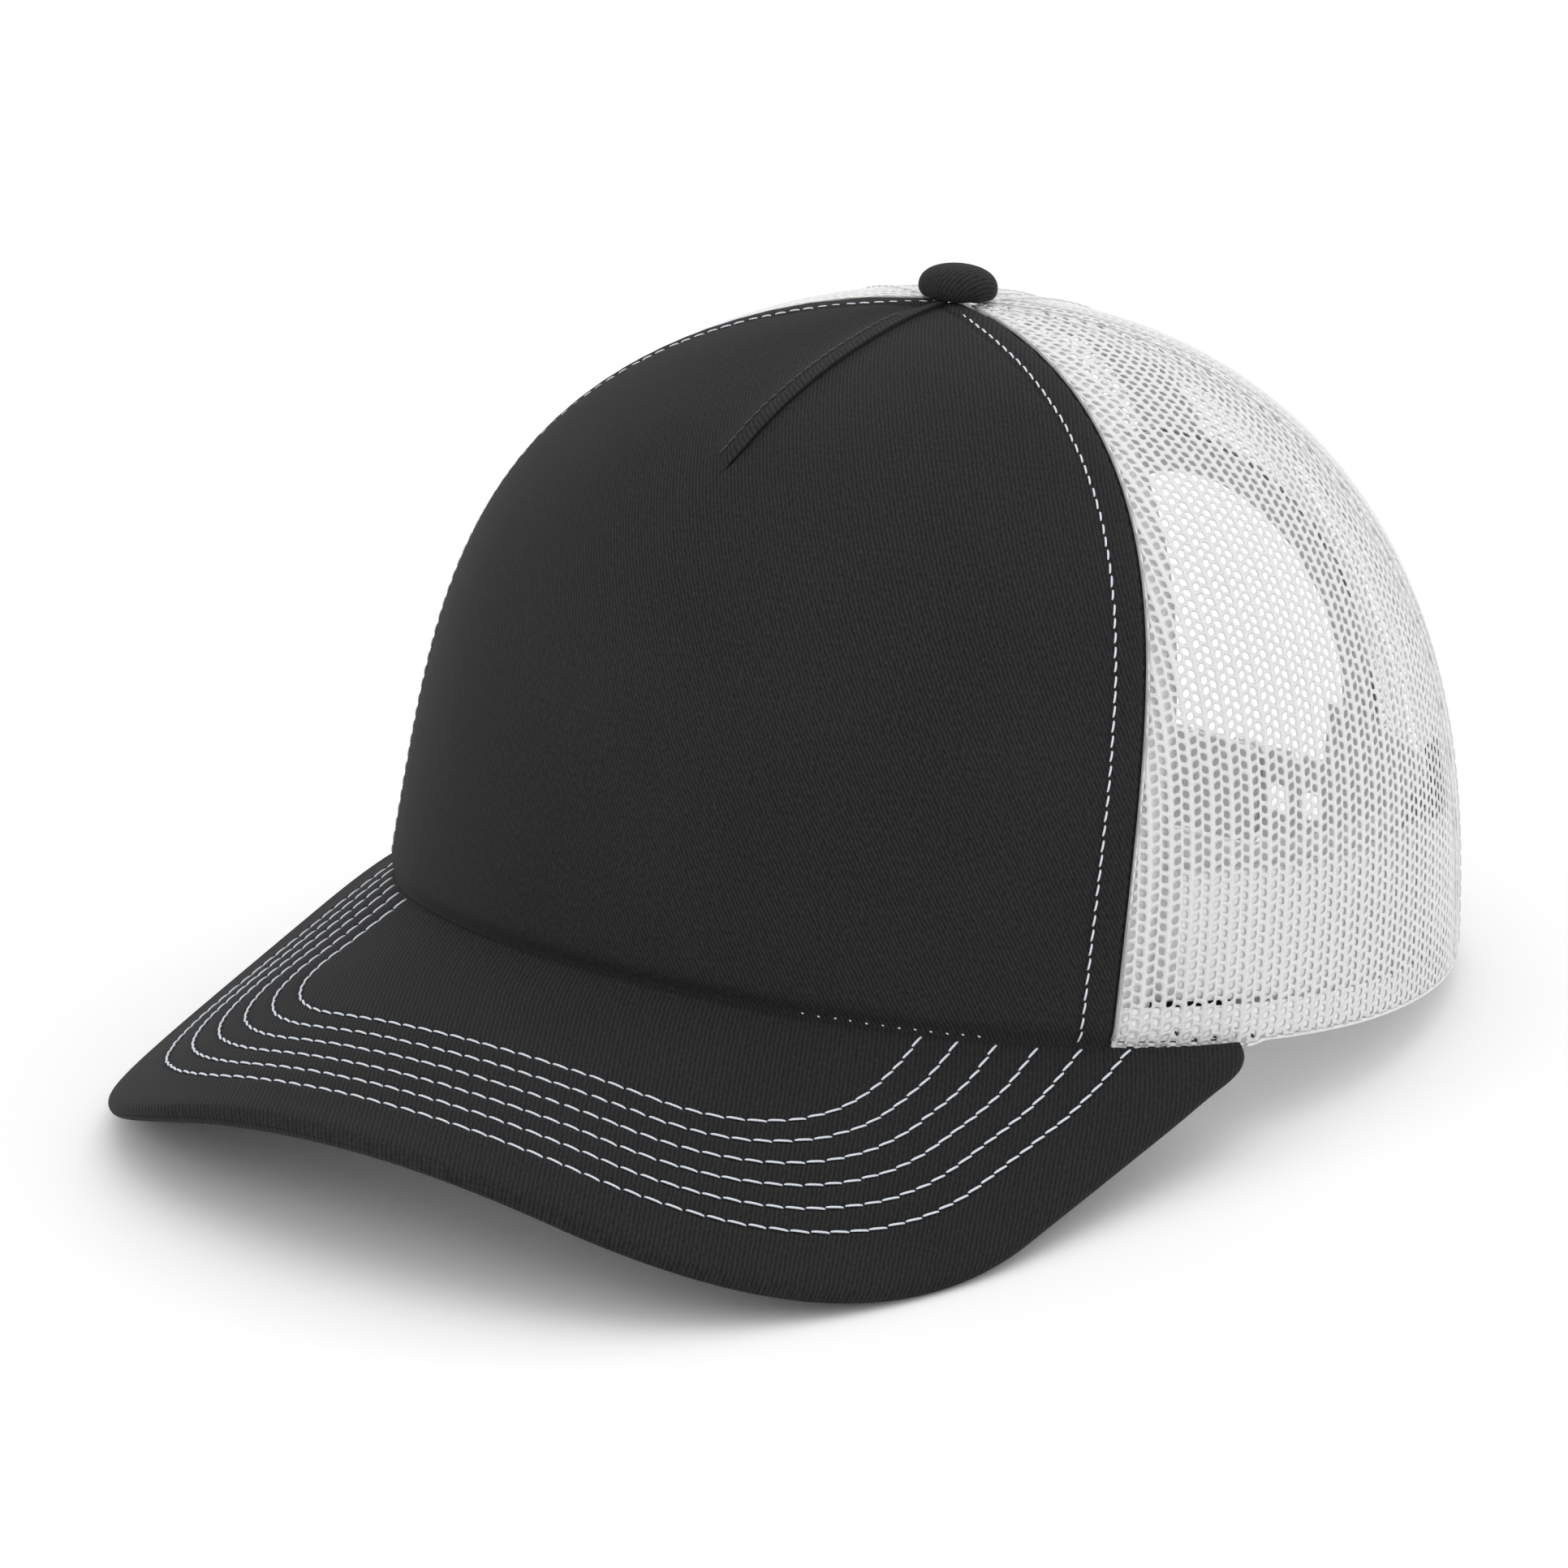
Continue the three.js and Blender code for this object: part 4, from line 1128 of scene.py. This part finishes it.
class Root:
    """The line where the visor is sewn to the crown, and how the covers reach it."""

    def __init__(self):
        end = visor_end()
        self.s = end * np.sin(np.pi / 2 * np.linspace(-1, 1, 401))
        self.v = visor_root(self.s)
        self.end, self.end_v = end, float(self.v[-1])
        p = visor(self.s, self.v)
        turn = np.arctan2(p[:, 0] / HALF, -p[:, 1] / FRONT)
        z = junction(turn)
        sewn = skin(turn, z / HEIGHT) - normal(turn, z / HEIGHT) * (pinch(turn)
                                                                  + 0.3)[:, None]
        half = VISOR_T / 2
        self.top = sewn - visor(self.s, self.v, half)
        self.under = sewn - [0, 0, 2.5] - visor(self.s, self.v, -half)

    def surface(self, s, v, off):
        """The visor's sheet, bent near the crown so that it ends on the seam."""
        s, v, off = np.broadcast_arrays(*[np.asarray(q, float) for q in (s, v, off)])
        shape = s.shape
        s, v, off = s.ravel(), v.ravel(), off.ravel()
        near = np.concatenate([
            np.argmin((a[:, None] - self.s) ** 2 + (b[:, None] - self.v) ** 2, 1)
            for a, b in zip(np.array_split(s, len(s) // 4000 + 1),
                            np.array_split(v, len(s) // 4000 + 1))])
        d = np.hypot(s - self.s[near], v - self.v[near])
        t = clamp(off / VISOR_T + 0.5)[:, None]
        pull = mix(self.under[near], self.top[near], t)
        keep = clamp(1 - d / ROOT_BLEND)[:, None] ** 2
        return (visor(s, v, off) + pull * keep).reshape(*shape, 3)

    def rim(self, inset, count):
        """The visor's outline with its rounded end, from the tip to the crown."""
        side = outline(inset, CORNER_V)
        a = side[-1]
        # b pulls the curve from the side to the seam outwards
        b = np.array([89.9 - inset, -62.0 + inset * 0.6])
        c = np.array([self.end - 0.1 - inset * 0.15, self.end_v - 0.25])
        t = np.linspace(0, 1, 60)[1:, None]
        pts = np.concatenate([side, (1 - t) ** 2 * a + 2 * t * (1 - t) * b + t * t * c])
        run = along(pts)
        k = np.linspace(0, 1, count)
        at = run[-1] * (1 - (1 - k) ** 1.25)
        return sample(pts, run, at)

    def grid(self, stations, cols, sign, relief):
        grid = []
        s0 = self.end * np.sin(np.pi / 2 * np.linspace(0, 1, cols))
        v0 = np.interp(s0, self.s, self.v)
        for t, inset, off in stations:
            edge = self.rim(inset, cols)
            s, v = mix(s0, edge[:, 0], t), mix(v0, edge[:, 1], t)
            s, v = np.r_[-s[:0:-1], s], np.r_[v[:0:-1], v]
            rise = sign * visor_relief(s, v) * clamp(t / 0.03) if relief else 0
            grid.append(np.stack([s, v, off + rise + 0 * s], -1))
        g = np.stack(grid[::-1], 1)
        return self.surface(g[..., 0], g[..., 1], g[..., 2]), g[..., :2]


def build_visor():
    root = Root()
    cols = 170
    t = np.linspace(0, 1, 130)
    half = VISOR_T / 2
    turns = np.linspace(0.12, np.pi / 2, 9)
    for sign, name, node in ((1, "visor_top_twill", "visor_top_cover"),
                             (-1, "visor_under_twill", "visor_under_cover")):
        skin_rows = [(q, 1.5, sign * half) for q in t]
        skin_rows += [(1, 1.5 * (1 - math.sin(a)), sign * mix(0.04, half, math.cos(a)))
                      for a in turns]
        core = [(q, 1.9, sign * (half - 0.7)) for q in t]
        core += [(1, 0.8 + 1.1 * (1 - math.sin(a)),
                  sign * mix(0.04, half - 0.7, math.cos(a))) for a in turns]
        outer, uv = root.grid(skin_rows, cols, sign, True)
        inner, _ = root.grid(core, cols, sign, False)
        if sign < 0:
            outer, inner = inner, outer
        p = Piece()
        p.shell(outer, inner, uv)
        p.make(name, "twill_black", TWILL_VISOR_SHADED, [node])
        st = Piece()
        for inset in ROWS_INSET:
            line = outline(inset, root.end_v - 8, 900)
            line = np.r_[np.stack([-line[:0:-1, 0], line[:0:-1, 1]], 1), line]
            line = line[line[:, 1] > np.interp(line[:, 0], root.s, root.v) + 0.5]
            pts = root.surface(line[:, 0], line[:, 1], sign * (half - 0.14))
            up = root.surface(line[:, 0], line[:, 1], sign * (half + 1)) - pts
            st.stitches(pts, up, lean=0.14, lift=0.14)
        st.make(name.replace("twill", "stitches"), "twill_black", THREAD_GREY)
    board = Piece()
    q = np.linspace(0.012, 1, 70)
    faces = [root.grid([(k, 3.0, off) for k in q], cols, 1, False) for off in (0.56, -0.56)]
    board.shell(faces[0][0], faces[1][0], faces[0][1])
    board.make("visor_stiffener", "board_grey", BOARD, ["visor_board"])
    build_junction_stitches()


def build_junction_stitches():
    """White seam stitches that show in the crease, and dark ones at the visor's ends."""
    p = Piece()
    for low, high, lift in ((24, 44, 0.34), (19, 24, 0.05)):
        turn = np.radians(np.linspace(low, high, 60))
        w = (junction(turn) + 0.35) / HEIGHT
        p.sew(turn, w, 0.0, SEAM_PITCH, 0.5, 0.13, 0.05, lift)
    p.make("visor_seam_stitches", "mesh_white", THREAD_WHITE)
    p = Piece()
    for side in (1, -1):
        turn = side * np.radians(np.linspace(61, 75.5, 60))
        w = (hem(turn) + 1.5 + 0.7 * np.sin(9 * np.degrees(turn) / 10)) / HEIGHT
        p.sew(turn, w, 0.58, 3.7, 1.1, 0.34, 0.3, 0.1)
    p.make("visor_bartacks", "twill_black", THREAD_BLACK)


# ------------------------------------------------------------------ button
def build_button():
    prof = np.array([(3.6, 0.75), (4.6, 0.42), (5.3, 0.35), (5.9, 0.6), (6.3, 1.15),
                     (6.52, 1.9), (6.5, 2.7), (6.25, 3.5), (5.7, 4.25), (4.9, 4.85),
                     (3.8, 5.35), (2.5, 5.68), (1.2, 5.84), (0.01, 5.88)])
    run = np.r_[0, np.cumsum(np.hypot(*np.diff(prof, axis=0).T))]
    at = np.linspace(0, run[-1], 46)
    r, z = np.interp(at, run, prof[:, 0]), np.interp(at, run, prof[:, 1])
    kernel = np.array([0.25, 0.5, 0.25])
    for _ in range(3):
        r[1:-1] = np.convolve(r, kernel, "valid")
        z[1:-1] = np.convolve(z, kernel, "valid")
    a = np.linspace(0, 2 * np.pi, 96, endpoint=False)
    gather = bell(at - 2.0, 2.2)[:, None]
    rr = r[:, None] * (1 + gather * 0.012 * np.sin(14 * a)[None])
    x, y = rr * np.cos(a), rr * np.sin(a)
    zz = z[:, None] + gather * 0.08 * np.sin(9 * a + 1)[None]
    pts = np.stack([x, y + TOP_SHIFT, zz + HEIGHT], -1)
    i = np.arange(x.size).reshape(x.shape)
    left = (run[-1] - at)[:, None]
    flat = np.stack([q * left / np.maximum(rr, 0.01) for q in (x, y)], -1)
    p = Piece()
    p.raw(pts, [hoops(i), i[:1, ::-1]], flat)
    p.make("button_twill", "twill_black", TWILL_BUTTON, ["button_cover"])


# ------------------------------------------------------------------ build
build_front()
build_mesh()
build_turning()
build_tapes()
build_binding()
build_inside()
build_straps()
build_visor()
build_button()
for node in ("button_shell", "button_rivet", "button_washer"):
    ob = bpy.data.objects[node]
    if not ob.material_slots:
        ob.data.materials.append(STEEL)
    for holder in ob.material_slots:
        holder.material = STEEL


# ------------------------------------------------------------------ studio
def floor():
    me = bpy.data.meshes.new("floor")
    s = 4.0
    me.from_pydata([(-s, -s, 0), (s, -s, 0), (s, s, 0), (-s, s, 0)], [], [(0, 1, 2, 3)])
    ob = linked("floor", me)
    m = bpy.data.materials.new("floor_paper")
    m.use_nodes = True
    b = m.node_tree.nodes["Principled BSDF"]
    b.inputs["Base Color"].default_value = (0.95, 0.95, 0.95, 1)
    b.inputs["Roughness"].default_value = 0.9
    b.inputs["Specular IOR Level"].default_value = 0.1
    me.materials.append(m)


def lamp(name, where, aim, size, power):
    li = bpy.data.lights.new(name, "AREA")
    li.shape, li.size, li.energy = "DISK", size, power
    ob = linked(name, li)
    ob.location = where
    ob.rotation_mode = "QUATERNION"
    ob.rotation_quaternion = (Vector(aim) - Vector(where)).to_track_quat("-Z", "Y")


def studio():
    floor()
    aim = (0, 0, 0.05)
    lamp("overhead", (0.1, 0.0, 1.7), aim, 1.6, 4)
    lamp("key_left", (-0.9, -1.5, 1.0), aim, 1.0, 4)
    lamp("fill_right", (1.6, -0.8, 0.9), aim, 1.0, 1.5)
    lamp("rim_back", (0.4, 1.6, 0.9), aim, 1.4, 3)
    world = bpy.data.worlds.new("studio")
    bpy.context.scene.world = world
    world.use_nodes = True
    bg = world.node_tree.nodes["Background"]
    bg.inputs[0].default_value = (1, 1, 1, 1)
    bg.inputs[1].default_value = 0.93
    bpy.context.scene.view_settings.view_transform = "Standard"


def camera():
    """The photo's viewpoint, worked out in the wearer's frame and tipped with it."""
    at, aim = place([765.4, -1159.5, 365.2]), place([0.0, -43.0, 30.5])
    cam = bpy.data.cameras.new("camera")
    cam.sensor_width, cam.lens = 36.0, 197.6
    cam.clip_start, cam.clip_end = 0.05, 50
    ob = linked("camera", cam)
    ob.location = at
    ob.rotation_mode = "QUATERNION"
    ob.rotation_quaternion = Vector(aim - at).to_track_quat("-Z", "Y")
    bpy.context.scene.camera = ob


studio()
camera()
bpy.context.view_layer.update()
